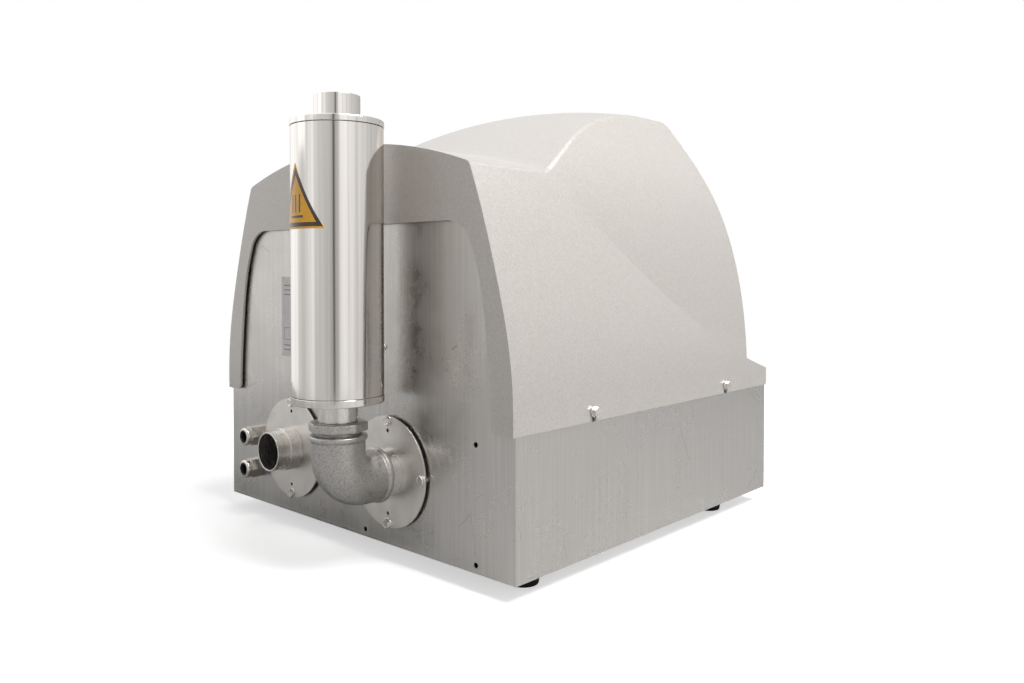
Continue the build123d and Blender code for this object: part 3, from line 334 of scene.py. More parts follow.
def yellow_label():
    """Printed vinyl sticker: warm yellow with a dark brown border, three plain strokes and a bar."""
    material, tree, shader, place = new_finish("printed_yellow_vinyl", {"Roughness": 0.38, "Coat Weight": 0.3,
                                                                        "Coat Roughness": 0.12})
    low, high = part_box("heat_label")
    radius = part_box("silencer_shell")[1].x - silencer_axis.x
    local = add_node(tree, "ShaderNodeVectorMath", [place, (silencer_axis.x, silencer_axis.y, low.z)],
                     operation="SUBTRACT").outputs["Vector"]
    parts = add_node(tree, "ShaderNodeSeparateXYZ", {"Vector": local}).outputs
    angle = add_node(tree, MATH, [parts["X"],
                                  add_node(tree, MATH, [parts["Y"], -1.0],
                                           operation="MULTIPLY")], operation="ARCTAN2")
    turn = math.atan2(node_middle("heat_label").x - silencer_axis.x, radius)
    across = add_node(tree, MATH, [add_node(tree, MATH, [angle, turn], operation="SUBTRACT"),
                                   radius * 1000], operation="MULTIPLY")
    up = add_node(tree, MATH, [parts["Z"], 1000.0], operation="MULTIPLY")
    rise = (high.z - low.z) * 1000
    half = rise / math.sqrt(3)
    depth = triangle_depth(tree, across, up, half, rise)
    border = inside(tree, depth, 2.2, 6.6)
    strokes = None
    for offset in (-7.0, 0.0, 7.0):
        stroke = inside(tree, across, offset - 1.1, offset + 1.1)
        strokes = stroke if strokes is None else add_node(tree, MATH, [strokes, stroke], operation="ADD")
    strokes = add_node(tree, MATH, [strokes, inside(tree, up, 17.0, 36.0)], operation="MULTIPLY")
    bar = add_node(tree, MATH, [inside(tree, up, 11.5, 14.0), inside(tree, across, -12.0, 12.0)],
                   operation="MULTIPLY")
    ink = add_node(tree, MATH, [border, add_node(tree, MATH, [strokes, bar], operation="ADD")],
                   operation="ADD", use_clamp=True)
    wear = add_node(tree, NOISE, {"Vector": place, "Scale": per_mm(4), "Detail": 5.0})
    vinyl = add_node(tree, "ShaderNodeValToRGB", {"Fac": wear.outputs["Fac"]},
                     stops=[(0.3, "#F0A912"), (0.7, "#FBBB24")])
    add_node(tree, "ShaderNodeMixRGB", {"Fac": ink, "Color1": vinyl.outputs["Color"],
                                                 "Color2": linear("#35241B")},
             feeds=shader.inputs["Base Color"])
    add_node(tree, "ShaderNodeBump",
             {"Height": wear.outputs["Fac"], "Strength": 0.3, "Distance": 0.02 * MM},
             feeds=shader.inputs["Normal"])
    return material


def white_label():
    """Printed white vinyl plate: grey rules, a frame and a small yellow triangle."""
    material, tree, shader, place = new_finish("printed_white_vinyl", {"Roughness": 0.4, "Coat Weight": 0.2,
                                                                       "Coat Roughness": 0.15})
    low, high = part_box("data_label")
    local = add_node(tree, "ShaderNodeVectorMath", [place, low], operation="SUBTRACT").outputs["Vector"]
    parts = add_node(tree, "ShaderNodeSeparateXYZ", {"Vector": local}).outputs
    across = add_node(tree, MATH, [parts["X"], 1000.0], operation="MULTIPLY")
    up = add_node(tree, MATH, [parts["Z"], 1000.0], operation="MULTIPLY")
    width = (high.x - low.x) * 1000
    height = (high.z - low.z) * 1000
    rules = None
    for rule, length in ((height - 12, 0.5), (height - 18, 0.8), (height - 24, 0.65), (8, 0.8), (14, 0.55)):
        wide = inside(tree, across, 6.0, 6 + length * (width - 12))
        row = add_node(tree, MATH, [inside(tree, up, rule, rule + 1.4), wide], operation="MULTIPLY")
        rules = row if rules is None else add_node(tree, MATH, [rules, row], operation="ADD")
    frame_out = add_node(tree, MATH, [inside(tree, across, 6.0, width - 6), inside(tree, up, 22.0, 38.0)],
                         operation="MULTIPLY")
    frame_in = add_node(tree, MATH, [inside(tree, across, 6.7, width - 6.7), inside(tree, up, 22.7, 37.3)],
                        operation="MULTIPLY")
    rules = add_node(tree, MATH, [rules, add_node(tree, MATH, [frame_out, frame_in], operation="SUBTRACT")],
                     operation="ADD", use_clamp=True)
    centred = add_node(tree, MATH, [across, width / 2], operation="SUBTRACT")
    depth = triangle_depth(tree, centred, add_node(tree, MATH, [up, 44.0], operation="SUBTRACT"), 15.0, 26.0)
    sign = add_node(tree, MATH, [depth, 0.0], operation="GREATER_THAN")
    edge = add_node(tree, MATH, [sign, add_node(tree, MATH, [depth, 1.8], operation="LESS_THAN")],
                    operation="MULTIPLY")
    vinyl = add_node(tree, NOISE, {"Vector": place, "Scale": per_mm(6), "Detail": 4.0})
    plate = add_node(tree, "ShaderNodeValToRGB", {"Fac": vinyl.outputs["Fac"]},
                     stops=[(0.3, "#DCDAD7"), (0.7, "#E9E7E4")])
    ruled = add_node(tree, "ShaderNodeMixRGB", {"Fac": rules, "Color1": plate.outputs["Color"],
                                                "Color2": linear("#8C8A88")})
    signed = add_node(tree, "ShaderNodeMixRGB", {"Fac": sign, "Color1": ruled.outputs["Color"],
                                                 "Color2": linear("#F4B41C")})
    add_node(tree, "ShaderNodeMixRGB", {"Fac": edge, "Color1": signed.outputs["Color"],
                                                "Color2": linear("#2B211A")},
             feeds=shader.inputs["Base Color"])
    return material


def plain_finish(name, values, pattern, tones, gloss=None, bump=None):
    """A finish led by one pattern, which its colours, its gloss and its relief all follow."""
    material, tree, shader, place = new_finish(name, values)
    kind, scale, inputs, settings, stretch = pattern
    if stretch:
        place = add_node(tree, "ShaderNodeMapping", {"Vector": place, "Scale": stretch})
    made = add_node(tree, kind, {"Vector": place, "Scale": scale, **inputs}, **settings)
    share = made.outputs["Distance" if kind == VORONOI else "Fac"]
    add_node(tree, "ShaderNodeValToRGB", {"Fac": share}, stops=tones, feeds=shader.inputs["Base Color"])
    if gloss:
        add_node(tree, "ShaderNodeMapRange", {"Value": share, "From Min": gloss[0], "From Max": gloss[1],
                                              "To Min": gloss[2], "To Max": gloss[3]},
                 feeds=shader.inputs["Roughness"])
    if bump:
        add_node(tree, "ShaderNodeBump", {"Height": share, "Distance": bump[0] * MM, "Strength": bump[1]},
                 feeds=shader.inputs["Normal"])
    return material


# Each: name, shader values, (texture, scale, inputs, settings, stretch), tones, gloss range, relief.
PLAIN_FINISHES = {
    # Bright zinc-plated fasteners: almost white, with glints and small dull patches.
    "zinc_plated_steel": (
        "bright_zinc_plated_steel", {"Metallic": 1.0}, (NOISE, per_mm(3), {"Detail": 4.0}, {}, None),
        [(0.3, "#CFCBC4"), (0.65, "#ECE9E4")], (0, 1, 0.1, 0.34), (0.05, 0.4)),
    # Drawn and turned steel pipe, nickelled: soft streaks and fine rings round its axis.
    "satin_pipe": (
        "turned_nickelled_pipe", {"Metallic": 1.0},
        (NOISE, per_mm(0.8), {"Detail": 3.0}, {}, (0.05, 1, 0.05)),
        [(0.3, "#CDCAC6"), (0.7, "#DEDBD7")], (0, 1, 0.2, 0.34), (0.02, 0.4)),
    # Stainless tube, ground lengthways and polished: a mirror with faint upright streaks.
    "polished_steel": (
        "polished_stainless_steel", {"Metallic": 1.0}, (NOISE, per_mm(3), {"Detail": 5.0}, {}, (1, 1, 0.01)),
        [(0.3, "#DAD5D0"), (0.7, "#E8E4DF")], (0.3, 0.7, 0.07, 0.17), (0.03, 0.35)),
    # Plain perforated steel tube: dull grey with a rolled grain.
    "perforated_steel": (
        "perforated_steel_tube", {"Metallic": 1.0, "Roughness": 0.4},
        (NOISE, per_mm(1.5), {"Detail": 3.0}, {}, None),
        [(0.3, "#8E8C8A"), (0.7, "#ADABA8")], None, (0.03, 0.4)),
    # Nickel-plated brass: warm silver, clean, with a fine turned grain.
    "nickel_plated_brass": (
        "nickel_plated_brass", {"Metallic": 1.0}, (NOISE, per_mm(0.7), {"Detail": 2.0}, {}, (0.1, 1, 0.1)),
        [(0.3, "#C3BFB8"), (0.7, "#D9D5CE")], (0, 1, 0.18, 0.32), (0.02, 0.4)),
    # Open-cell polyurethane foam: charcoal, fully matt. Cells of about 0.8 mm are drawn 1.8 mm across,
    # so that they show.
    "acoustic_foam": (
        "open_cell_polyurethane_foam", {"Roughness": 1.0, "Specular IOR Level": 0.15, "Sheen Weight": 0.25},
        (VORONOI, per_mm(1.8), {}, {}, None), [(0.0, "#131314"), (0.8, "#3B3B3E")], None, (0.6, 0.9)),
    # Die-cast aluminium, shot-blasted: even light grey with a fine matt sparkle.
    "cast_aluminium": (
        "shot_blasted_cast_aluminium", {"Metallic": 0.9}, (NOISE, per_mm(1.2), {"Detail": 4.0}, {}, None),
        [(0.3, "#9C9C9B"), (0.7, "#BEBEBC")], (0, 1, 0.42, 0.6), (0.12, 0.6)),
    # Stacked electrical steel: dark grey. Laminations of 0.5 mm are drawn 1.5 mm thick, so that they show.
    "electrical_steel": (
        "stacked_electrical_steel", {"Metallic": 0.8, "Roughness": 0.5},
        (WAVE, per_mm(1.5) / WAVE_TURN, {"Distortion": 0.2}, {"bands_direction": "Y"}, None),
        [(0.2, "#4C4C4F"), (0.8, "#77777A")], None, (0.1, 0.5)),
    # Enamelled copper wire in bound turns: reddish brown with a varnished gleam.
    "copper_winding": (
        "enamelled_copper_wire",
        {"Metallic": 0.85, "Roughness": 0.32, "Coat Weight": 0.5, "Coat Roughness": 0.15},
        (WAVE, per_mm(2) / WAVE_TURN, {"Distortion": 2.5, "Detail": 2.0},
         {"wave_type": "RINGS", "rings_direction": "Y"}, None),
        [(0.2, "#6E3416"), (0.8, "#B56A36")], None, (0.4, 0.7)),
    # Ground and hardened steel: bright, with hair-fine grinding rings and an oil film.
    "bearing_steel": (
        "ground_bearing_steel", {"Metallic": 1.0, "Coat Weight": 0.2, "Coat Roughness": 0.1},
        (NOISE, per_mm(0.5), {"Detail": 2.0}, {}, (0.1, 1, 0.1)),
        [(0.3, "#B9B9BB"), (0.7, "#D2D2D4")], (0, 1, 0.12, 0.25), None),
    # Glass-filled nylon, moulded: dark grey with a fine eroded texture.
    "black_plastic": (
        "moulded_black_nylon", {}, (NOISE, per_mm(0.9), {"Detail": 3.0}, {}, None),
        [(0.3, "#141416"), (0.7, "#232326")], (0, 1, 0.4, 0.55), (0.06, 0.5)),
    # Powder-coated sheet steel: slate grey with a soft orange peel.
    "painted_sheet": (
        "slate_powder_coated_steel", {"Roughness": 0.42, "Coat Weight": 0.15},
        (NOISE, per_mm(2.2), {"Detail": 2.0}, {}, None),
        [(0.3, "#454A50"), (0.7, "#51565C")], None, (0.08, 0.5)),
    # Basalt wool: dull yellow-green, matted with short fibres.
    "mineral_wool": (
        "packed_basalt_wool", {"Roughness": 1.0, "Specular IOR Level": 0.1},
        (NOISE, per_mm(1.5), {"Detail": 6.0, "Distortion": 2.0}, {}, (1, 1, 0.2)),
        [(0.3, "#7C7148"), (0.7, "#B9AC77")], None, (0.6, 0.9)),
}

FINISHES = {
    "hood_paint": hood_paint, "black_rubber": black_rubber, "galvanised_sheet": galvanised_sheet,
    "flange_steel": flange_steel, "cast_fitting": cast_fitting, "yellow_label": yellow_label,
    "white_label": white_label,
}
finished = {}


def finish_for(slot):
    """The material of one of the record's slots, made once."""
    if slot not in finished:
        made = FINISHES[slot]() if slot in FINISHES else plain_finish(*PLAIN_FINISHES[slot])
        finished[slot] = made
    return finished[slot]


# ------------------------------------------------------------------ modelling
def pick(*pieces):
    """Leaves only these pieces selected, the last one active."""
    bpy.ops.object.select_all(action="DESELECT")
    for piece in pieces:
        piece.select_set(True)
        bpy.context.view_layer.objects.active = piece


def apply_modifier(piece, name, kind, **settings):
    """Adds a modifier with its settings and applies it."""
    pick(piece)
    modifier = piece.modifiers.new(name, kind)
    for setting, value in settings.items():
        setattr(modifier, setting, value)
    bpy.ops.object.modifier_apply(modifier=name)


def settle(piece, matrix=None):
    """Puts a piece at its place, which ends up in its mesh."""
    if matrix is not None:
        piece.matrix_world = matrix
    pick(piece)
    bpy.ops.object.transform_apply(location=True, rotation=True, scale=True)


def round_edges(piece, rounding, limit=40.0, segments=2):
    """Rounds the sharp edges and lets the broad faces lead the shading."""
    pick(piece)
    bpy.ops.object.shade_smooth_by_angle(angle=SMOOTH_ANGLE)
    apply_modifier(piece, "edge_rounding", "BEVEL", width=rounding, segments=segments, limit_method="ANGLE",
                   angle_limit=math.radians(limit), use_clamp_overlap=True)
    pick(piece)
    bpy.ops.object.shade_smooth_by_angle(angle=SMOOTH_ANGLE)
    apply_modifier(piece, "broad_faces_lead", "WEIGHTED_NORMAL", keep_sharp=True)


def merged_copy(node, flatten=True):
    """A copy of a CAD node with its loose triangles merged and its flat faces cleaned."""
    piece = bpy.data.objects.new(node + "_finished", frame["nodes"][node].data.copy())
    bpy.context.scene.collection.objects.link(piece)
    pick(piece)
    bpy.ops.mesh.customdata_custom_splitnormals_clear()
    bpy.ops.object.mode_set(mode="EDIT")
    bpy.ops.mesh.select_all(action="SELECT")
    bpy.ops.mesh.remove_doubles(threshold=0.002 * MM)
    if flatten:
        bpy.ops.mesh.dissolve_limited(angle_limit=math.radians(0.3))
    bpy.ops.object.mode_set(mode="OBJECT")
    return piece


def stand_for(piece, *nodes):
    """A finished piece takes the CAD nodes' place, body, slot and finish."""
    slot = SLOT_OF[nodes[0]]
    piece.data.materials.clear()
    piece.data.materials.append(finish_for(slot))
    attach(piece, BODY_OF[nodes[0]])
    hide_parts(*nodes)


def rounded_copy(node, rounding, segments=2):
    """A CAD node's shape with its edges rounded, as the visible piece."""
    piece = merged_copy(node)
    round_edges(piece, rounding, segments=segments)
    stand_for(piece, node)
    return piece


def turned(name, profile, sides=RING_SIDES):
    """A piece turned about Z at the origin: a ring drawn through its closed profile, in mm."""
    bpy.ops.object.select_all(action="DESELECT")
    radius, height = profile[0]
    bpy.ops.mesh.primitive_circle_add(vertices=sides, radius=radius * MM, location=(0, 0, height * MM))
    piece = bpy.context.object
    piece.name = name
    settle(piece)
    bpy.ops.object.mode_set(mode="EDIT")
    bpy.ops.mesh.select_all(action="SELECT")
    for next_radius, next_height in profile[1:] + profile[:1]:
        bpy.ops.mesh.extrude_region_move(
            TRANSFORM_OT_translate={"value": (0, 0, (next_height - height) * MM)})
        share = next_radius / radius
        bpy.ops.transform.resize(value=(share, share, 1), center_override=(0, 0, next_height * MM))
        radius, height = next_radius, next_height
    bpy.ops.mesh.select_all(action="SELECT")
    bpy.ops.mesh.remove_doubles(threshold=0.005 * MM)
    bpy.ops.mesh.normals_make_consistent(inside=False)
    bpy.ops.object.mode_set(mode="OBJECT")
    return piece


def arc_points(centre, radius, start, end, count=5):
    """Points of a rounded corner in a turned profile, in mm, between two angles in degrees."""
    turns = [math.radians(start + (end - start) * i / count) for i in range(count + 1)]
    return [(centre[0] + radius * math.cos(t), centre[1] + radius * math.sin(t)) for t in turns]


def shade(piece, rounding=0.0):
    """Smooth shading, with the broad faces leading it."""
    if rounding:
        round_edges(piece, rounding)
        return
    pick(piece)
    bpy.ops.object.shade_smooth_by_angle(angle=SMOOTH_ANGLE)
    apply_modifier(piece, "broad_faces_lead", "WEIGHTED_NORMAL", keep_sharp=True)


def copies(pattern, name, places):
    """Copies of one pattern at its places, joined as one piece; the pattern itself goes."""
    made = []
    for place in places:
        one = pattern.copy()
        one.data = pattern.data.copy()
        bpy.context.scene.collection.objects.link(one)
        settle(one, place)
        made.append(one)
    bpy.data.objects.remove(pattern)
    pick(*made)
    bpy.ops.object.join()
    piece = bpy.context.object
    piece.name = name
    return piece


def pointing(direction, place):
    """Matrix that turns +Z to a direction and moves the origin to a place."""
    return Matrix.Translation(place) @ Vector(direction).to_track_quat("Z", "Y").to_matrix().to_4x4()


def islands(node):
    """Boxes of a CAD node's separate solids, as (low corner, high corner)."""
    piece = merged_copy(node, flatten=False)
    pick(piece)
    bpy.ops.object.mode_set(mode="EDIT")
    bpy.ops.mesh.select_all(action="SELECT")
    bpy.ops.mesh.separate(type="LOOSE")
    bpy.ops.object.mode_set(mode="OBJECT")
    found = []
    for part in list(bpy.context.selected_objects):
        points = [v.co for v in part.data.vertices]
        found.append((Vector([min(p[i] for p in points) for i in range(3)]),
                      Vector([max(p[i] for p in points) for i in range(3)])))
        bpy.data.objects.remove(part)
    return found


def hexagon(flats, height, base, crown):
    """A hexagon bolt head or nut in mm: a prism with a rounded crown and a small hollow on top."""
    bpy.ops.object.select_all(action="DESELECT")
    bpy.ops.mesh.primitive_circle_add(vertices=6, radius=flats / math.sqrt(3) * MM, fill_type="NGON",
                                      location=(0, 0, base * MM))
    head = bpy.context.object
    settle(head)
    bpy.ops.object.mode_set(mode="EDIT")
    bpy.ops.mesh.select_all(action="SELECT")
    bpy.ops.mesh.extrude_region_move(TRANSFORM_OT_translate={"value": (0, 0, (height - crown) * MM)})
    bpy.ops.mesh.extrude_region_move(TRANSFORM_OT_translate={"value": (0, 0, crown * MM)})
    bpy.ops.transform.resize(value=(0.88, 0.88, 1), center_override=(0, 0, (base + height) * MM))
    bpy.ops.mesh.inset(thickness=0.12 * flats * MM)
    bpy.ops.transform.translate(value=(0, 0, -0.1 * height * MM))
    bpy.ops.mesh.select_all(action="SELECT")
    bpy.ops.mesh.normals_make_consistent(inside=False)
    bpy.ops.object.mode_set(mode="OBJECT")
    return head


def joined(name, *pieces):
    """Several modelled solids as one piece."""
    pick(*pieces)
    bpy.ops.object.join()
    piece = bpy.context.object
    piece.name = name
    return piece


# ------------------------------------------------------------------ hood
class BLOWER_OT_hood(bpy.types.Operator):
    """Rounds the moulded hood's cut edges and paints it"""
    bl_idname = "blower.hood"
    bl_label = "Hood"

    def execute(self, context):
        piece = merged_copy("hood_shell", flatten=False)
        round_edges(piece, context.scene.hood_look.edge_rounding, limit=50.0, segments=3)
        stand_for(piece, "hood_shell")
        # The black rubber seal round the arch's inner edge is partly real edge trim and partly painted shade:
        # it makes the gap between the hood and the panel read black.
        rounded_copy("arch_seal", 0.5 * MM)
        return {"FINISHED"}


class BLOWER_OT_lining(bpy.types.Operator):
    """Moulds peaks and hollows into the hood's foam lining"""
    bl_idname = "blower.lining"
    bl_label = "Foam lining"

    def execute(self, context):
        look = context.scene.hood_look
        piece = merged_copy("hood_foam", flatten=False)
        piece.name = "foam_lining"
        apply_modifier(piece, "even_faces", "REMESH", mode="VOXEL", voxel_size=6 * MM)
        heart = node_middle("hood_foam") - Vector((0, 0, 0.2))
        turn = 2 * math.pi / look.foam_cell
        normals = [vertex.normal.copy() for vertex in piece.data.vertices]
        for vertex, normal in zip(piece.data.vertices, normals):
            inward = heart - vertex.co
            if normal.dot(inward) < 0.3 * inward.length:
                continue
            x, y, z = vertex.co
            across = x if abs(normal.x) < 0.7 else z
            along = y if abs(normal.y) < 0.7 else z
            peaks = (2 + math.cos(turn * across) + math.cos(turn * along)) / 4
            vertex.co -= normal * look.foam_depth * (1 - peaks)
        pick(piece)
        bpy.ops.object.shade_smooth()
        stand_for(piece, "hood_foam")
        return {"FINISHED"}


# ------------------------------------------------------------------ base
class BLOWER_OT_base_box(bpy.types.Operator):
    """Breaks the edges of the base's sheets, its panel and its rubber seals"""
    bl_idname = "blower.base_box"
    bl_label = "Base box"

    def execute(self, context):
        edge = context.scene.sheet_look.edge_break
        for node in ("base_wall", "rear_panel", "floor_plate", "left_rail", "right_rail"):
            rounded_copy(node, edge)
        return {"FINISHED"}


class BLOWER_OT_feet(bpy.types.Operator):
    """Turns the four rubber feet, with their moulded groove and screw recess"""
    bl_idname = "blower.feet"
    bl_label = "Rubber feet"

    def execute(self, context):
        for number in range(1, 5):
            node = "rubber_foot_" + str(number)
            low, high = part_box(node)
            radius = (high.x - low.x) / 2 / MM
            height = (high.z - low.z) / MM
            slope = 0.15
            profile = [(4.0, 9.0), (8.0, 9.0), (8.0, 1.0), (8.8, 0.0)]
            profile += arc_points((radius - 3 - 1.6, 1.6), 1.6, -90, 0)
            profile += [(radius - slope * (height - 8.5) - 0.1, 8.5),
                        (radius - slope * (height - 8.5) - 1.0, 9.2)]
            profile += [(radius - slope * (height - 10.5) - 1.0, 10.5),
                        (radius - slope * (height - 11.2), 11.2)]
            profile += [(radius - 0.25, height - 0.9), (radius - 0.9, height), (4.0, height)]
            foot = turned(node + "_moulded", profile, sides=72)
            settle(foot, Matrix.Translation(((low.x + high.x) / 2, (low.y + high.y) / 2, low.z)))
            shade(foot)
            stand_for(foot, node)
        return {"FINISHED"}


# ------------------------------------------------------------------ pipe work
class BLOWER_OT_flanges(bpy.types.Operator):
    """Breaks the edges of the flanges, gaskets and the outlet's collar"""
    bl_idname = "blower.flanges"
    bl_label = "Flanges and gaskets"

    def execute(self, context):
        # The black rubber gaskets, a little smaller than the flanges, are partly real gaskets and partly
        # painted shadow: their rims stand for the shadow line where the flanges stand off the panel.
        for node in ("inlet_flange", "outlet_flange", "inlet_gasket", "outlet_gasket"):
            rounded_copy(node, 0.3 * MM)
        rounded_copy("outlet_collar", 0.3 * MM)
        return {"FINISHED"}


class BLOWER_OT_inlet(bpy.types.Operator):
    """Turns the inlet stub with its collar, its shoulder and its rounded mouth"""
    bl_idname = "blower.inlet"
    bl_label = "Inlet stub"

    def execute(self, context):
        lip = context.scene.pipe_look.mouth_rounding / MM
        low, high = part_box("inlet_stub")
        collar = (high.x - low.x) / 2 / MM
        reach = (panel_face - low.y) / MM
        tail = (high.y - panel_face) / MM
        face = (panel_face - flange_face) / MM
        outer, inner, step = 25.0, 23.0, 22.0
        profile = [(inner, -tail), (outer, -tail), (outer, face), (collar - 0.3, face), (collar, face + 0.4)]
        profile += [(collar, step - 0.5), (collar - 0.5, step), (outer + 0.2, step), (outer, step + 0.3)]
        profile += arc_points((outer - lip, reach - lip), lip, 0, 90)
        profile += arc_points((inner + lip, reach - lip), lip, 90, 180)
        stub = turned("inlet_stub_turned", profile)
        settle(stub, pointing((0, -1, 0), (inlet_axis.x, panel_face, inlet_axis.z)))
        shade(stub)
        stand_for(stub, "inlet_stub")
        return {"FINISHED"}


class BLOWER_OT_castings(bpy.types.Operator):
    """Rebuilds the elbow and the bush with softened edges and a sand-cast skin"""
    bl_idname = "blower.castings"
    bl_label = "Cast fittings"

    def execute(self, context):
        look = context.scene.pipe_look
        skin = bpy.data.textures.new("sand_mould", "CLOUDS")
        skin.noise_scale = 3.5 * MM
        for node in ("pipe_elbow", "reducing_bush"):
            piece = merged_copy(node, flatten=False)
            apply_modifier(piece, "even_faces", "REMESH", mode="VOXEL", voxel_size=look.cast_voxel)
            apply_modifier(piece, "worn_mould", "SMOOTH", factor=0.5, iterations=3)
            apply_modifier(piece, "sand_skin", "DISPLACE", texture=skin, texture_coords="LOCAL",
                           strength=look.cast_roughness, mid_level=0.8)
            pick(piece)
            bpy.ops.object.shade_smooth()
            stand_for(piece, node)
        return {"FINISHED"}


class BLOWER_OT_silencer(bpy.types.Operator):
    """Turns the silencer's neck, caps, shell and tail pipe"""
    bl_idname = "blower.silencer"
    bl_label = "Silencer"

    def execute(self, context):
        look = context.scene.pipe_look
        lip = look.mouth_rounding / MM
        gap = look.seam_gap / MM
        base = Matrix.Translation((silencer_axis.x, silencer_axis.y, 0))
        heights = {node: [corner.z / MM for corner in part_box(node)] for node in (
            "silencer_shell", "silencer_bottom_cap", "silencer_top_cap", "tail_pipe", "silencer_neck")}
        shell_low, shell_high = heights["silencer_shell"]
        cap_radius = (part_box("silencer_top_cap")[1].x - silencer_axis.x) / MM
        radius = (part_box("silencer_shell")[1].x - silencer_axis.x) / MM
        pipe = (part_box("tail_pipe")[1].x - silencer_axis.x) / MM
        neck = (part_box("silencer_neck")[1].x - silencer_axis.x) / MM
        bore, sheet, bend = 17.0, 2.0, 1.6

        shell = turned("silencer_shell_polished", [
            (radius - 1, shell_low + gap), (radius - 0.3, shell_low + gap), (radius, shell_low + gap + 0.3),
            (radius, shell_high - gap - 0.3), (radius - 0.3, shell_high - gap),
            (radius - 1, shell_high - gap)],
            sides=240)
        low, high = heights["silencer_bottom_cap"]
        cup = [(bore, low)] + arc_points((cap_radius - bend, low + bend), bend, -90, 0)
        cup += [(cap_radius, high - 0.3), (cap_radius - 0.3, high), (cap_radius - sheet, high)]
        cup += [(cap_radius - sheet, low + sheet), (bore, low + sheet)]
        bottom = turned("silencer_bottom_cap_pressed", cup, sides=240)
        low, high = heights["silencer_top_cap"]
        lid = [(pipe - 0.6, high - sheet), (cap_radius - sheet, high - sheet), (cap_radius - sheet, low)]
        lid += [(cap_radius - 0.3, low), (cap_radius, low + 0.3)]
        lid += arc_points((cap_radius - bend, high - bend), bend, 0, 90) + [(pipe - 0.6, high)]
        top = turned("silencer_top_cap_pressed", lid, sides=240)
        low, high = heights["tail_pipe"]
        rim = [(pipe - 2, low), (pipe - 0.75, low), (pipe - 0.75, heights["silencer_top_cap"][1])]
        rim += [(pipe, heights["silencer_top_cap"][1])]
        rim += arc_points((pipe - lip, high - lip), lip, 0, 90)
        rim += arc_points((pipe - 2 + lip, high - lip), lip, 90, 180)
        tail = turned("tail_pipe_turned", rim)
        low, high = heights["silencer_neck"]
        weld = arc_points((neck - 0.3, high - 1.6), 1.5, -80, 80)
        stem = turned("silencer_neck_welded", [(bore, low), (neck - 0.4, low), (neck, low + 0.4)] + weld
                      + [(neck - 0.2, high), (bore, high)])
        for piece, node in ((shell, "silencer_shell"), (bottom, "silencer_bottom_cap"),
                            (top, "silencer_top_cap"), (tail, "tail_pipe"), (stem, "silencer_neck")):
            settle(piece, base)
            shade(piece)
            stand_for(piece, node)
        return {"FINISHED"}


class BLOWER_OT_labels(bpy.types.Operator):
    """Lays the yellow triangle and the white plate as printed vinyl"""
    bl_idname = "blower.labels"
    bl_label = "Labels"

    def execute(self, context):
        for node in ("heat_label", "data_label"):
            rounded_copy(node, 0.08 * MM)
        return {"FINISHED"}


# ------------------------------------------------------------------ fasteners and glands
class BLOWER_OT_fasteners(bpy.types.Operator):
    """Models the hexagon bolts, screws, washers and nuts"""
    bl_idname = "blower.fasteners"
    bl_label = "Fasteners"

    def execute(self, context):
        flats, head = 10.0, 4.0
        face = (panel_face - flange_face) / MM
        bolt_reach = (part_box("flange_bolts")[1].y - panel_face) / MM
        solid = [hexagon(flats, head, 0, 0.7),
                 turned("washer", [(3.0, -0.02), (6.0, -0.02), (6.2, 0.2), (6.2, 0.7), (6.0, 0.9),
                                   (3.0, 0.9)], 48),
                 turned("shank", [(0.01, -bolt_reach - face), (2.6, -bolt_reach - face),
                                  (3.0, 0.4 - bolt_reach - face), (3.0, 0.5), (0.01, 0.5)], 32),
                 hexagon(flats, 5.0, -face - 7.0, 0.6)]
        bolt = joined("bolt", *solid)
        shade(bolt, 0.25 * MM)
        places = [pointing((0, -1, 0), ((low.x + high.x) / 2, flange_face, (low.z + high.z) / 2))
                  for low, high in islands("flange_bolts")]
        stand_for(copies(bolt, "flange_bolts_plated", places), "flange_bolts")

        low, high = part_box("hood_washers")
        seat = high.x
        grip = (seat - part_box("base_wall")[1].x) / MM + 12
        screw = joined("screw", hexagon(flats, head, 0, 0.7),
                       turned("shank", [(0.01, -grip), (2.6, -grip), (3.0, 0.4 - grip), (3.0, 0.5),
                                        (0.01, 0.5)], 32))
        shade(screw, 0.25 * MM)
        places = []
        for low, high in islands("hood_screws"):
            side = 1 if low.x + high.x > 0 else -1
            places.append(pointing((side, 0, 0), (side * seat, (low.y + high.y) / 2, (low.z + high.z) / 2)))
        stand_for(copies(screw, "hood_screws_plated", places), "hood_screws")
        for node in ("hood_washers", "panel_screw", "foot_screws", "rim_nuts"):
            rounded_copy(node, 0.2 * MM)
        return {"FINISHED"}


class BLOWER_OT_glands(bpy.types.Operator):
    """Rounds the cable glands' hexagons, domes and seals"""
    bl_idname = "blower.glands"
    bl_label = "Cable glands"

    def execute(self, context):
        for node in ("gland_bodies", "gland_caps", "gland_seals"):
            rounded_copy(node, 0.4 * MM)
        return {"FINISHED"}


class BLOWER_OT_machine(bpy.types.Operator):
    """Gives every CAD piece that still shows its own finish"""
    bl_idname = "blower.machine"
    bl_label = "Blower and motor"

    def execute(self, context):
        for name, node in frame["nodes"].items():
            if not node.hide_render:
                node.material_slots[0].material = finish_for(SLOT_OF[name])
        return {"FINISHED"}


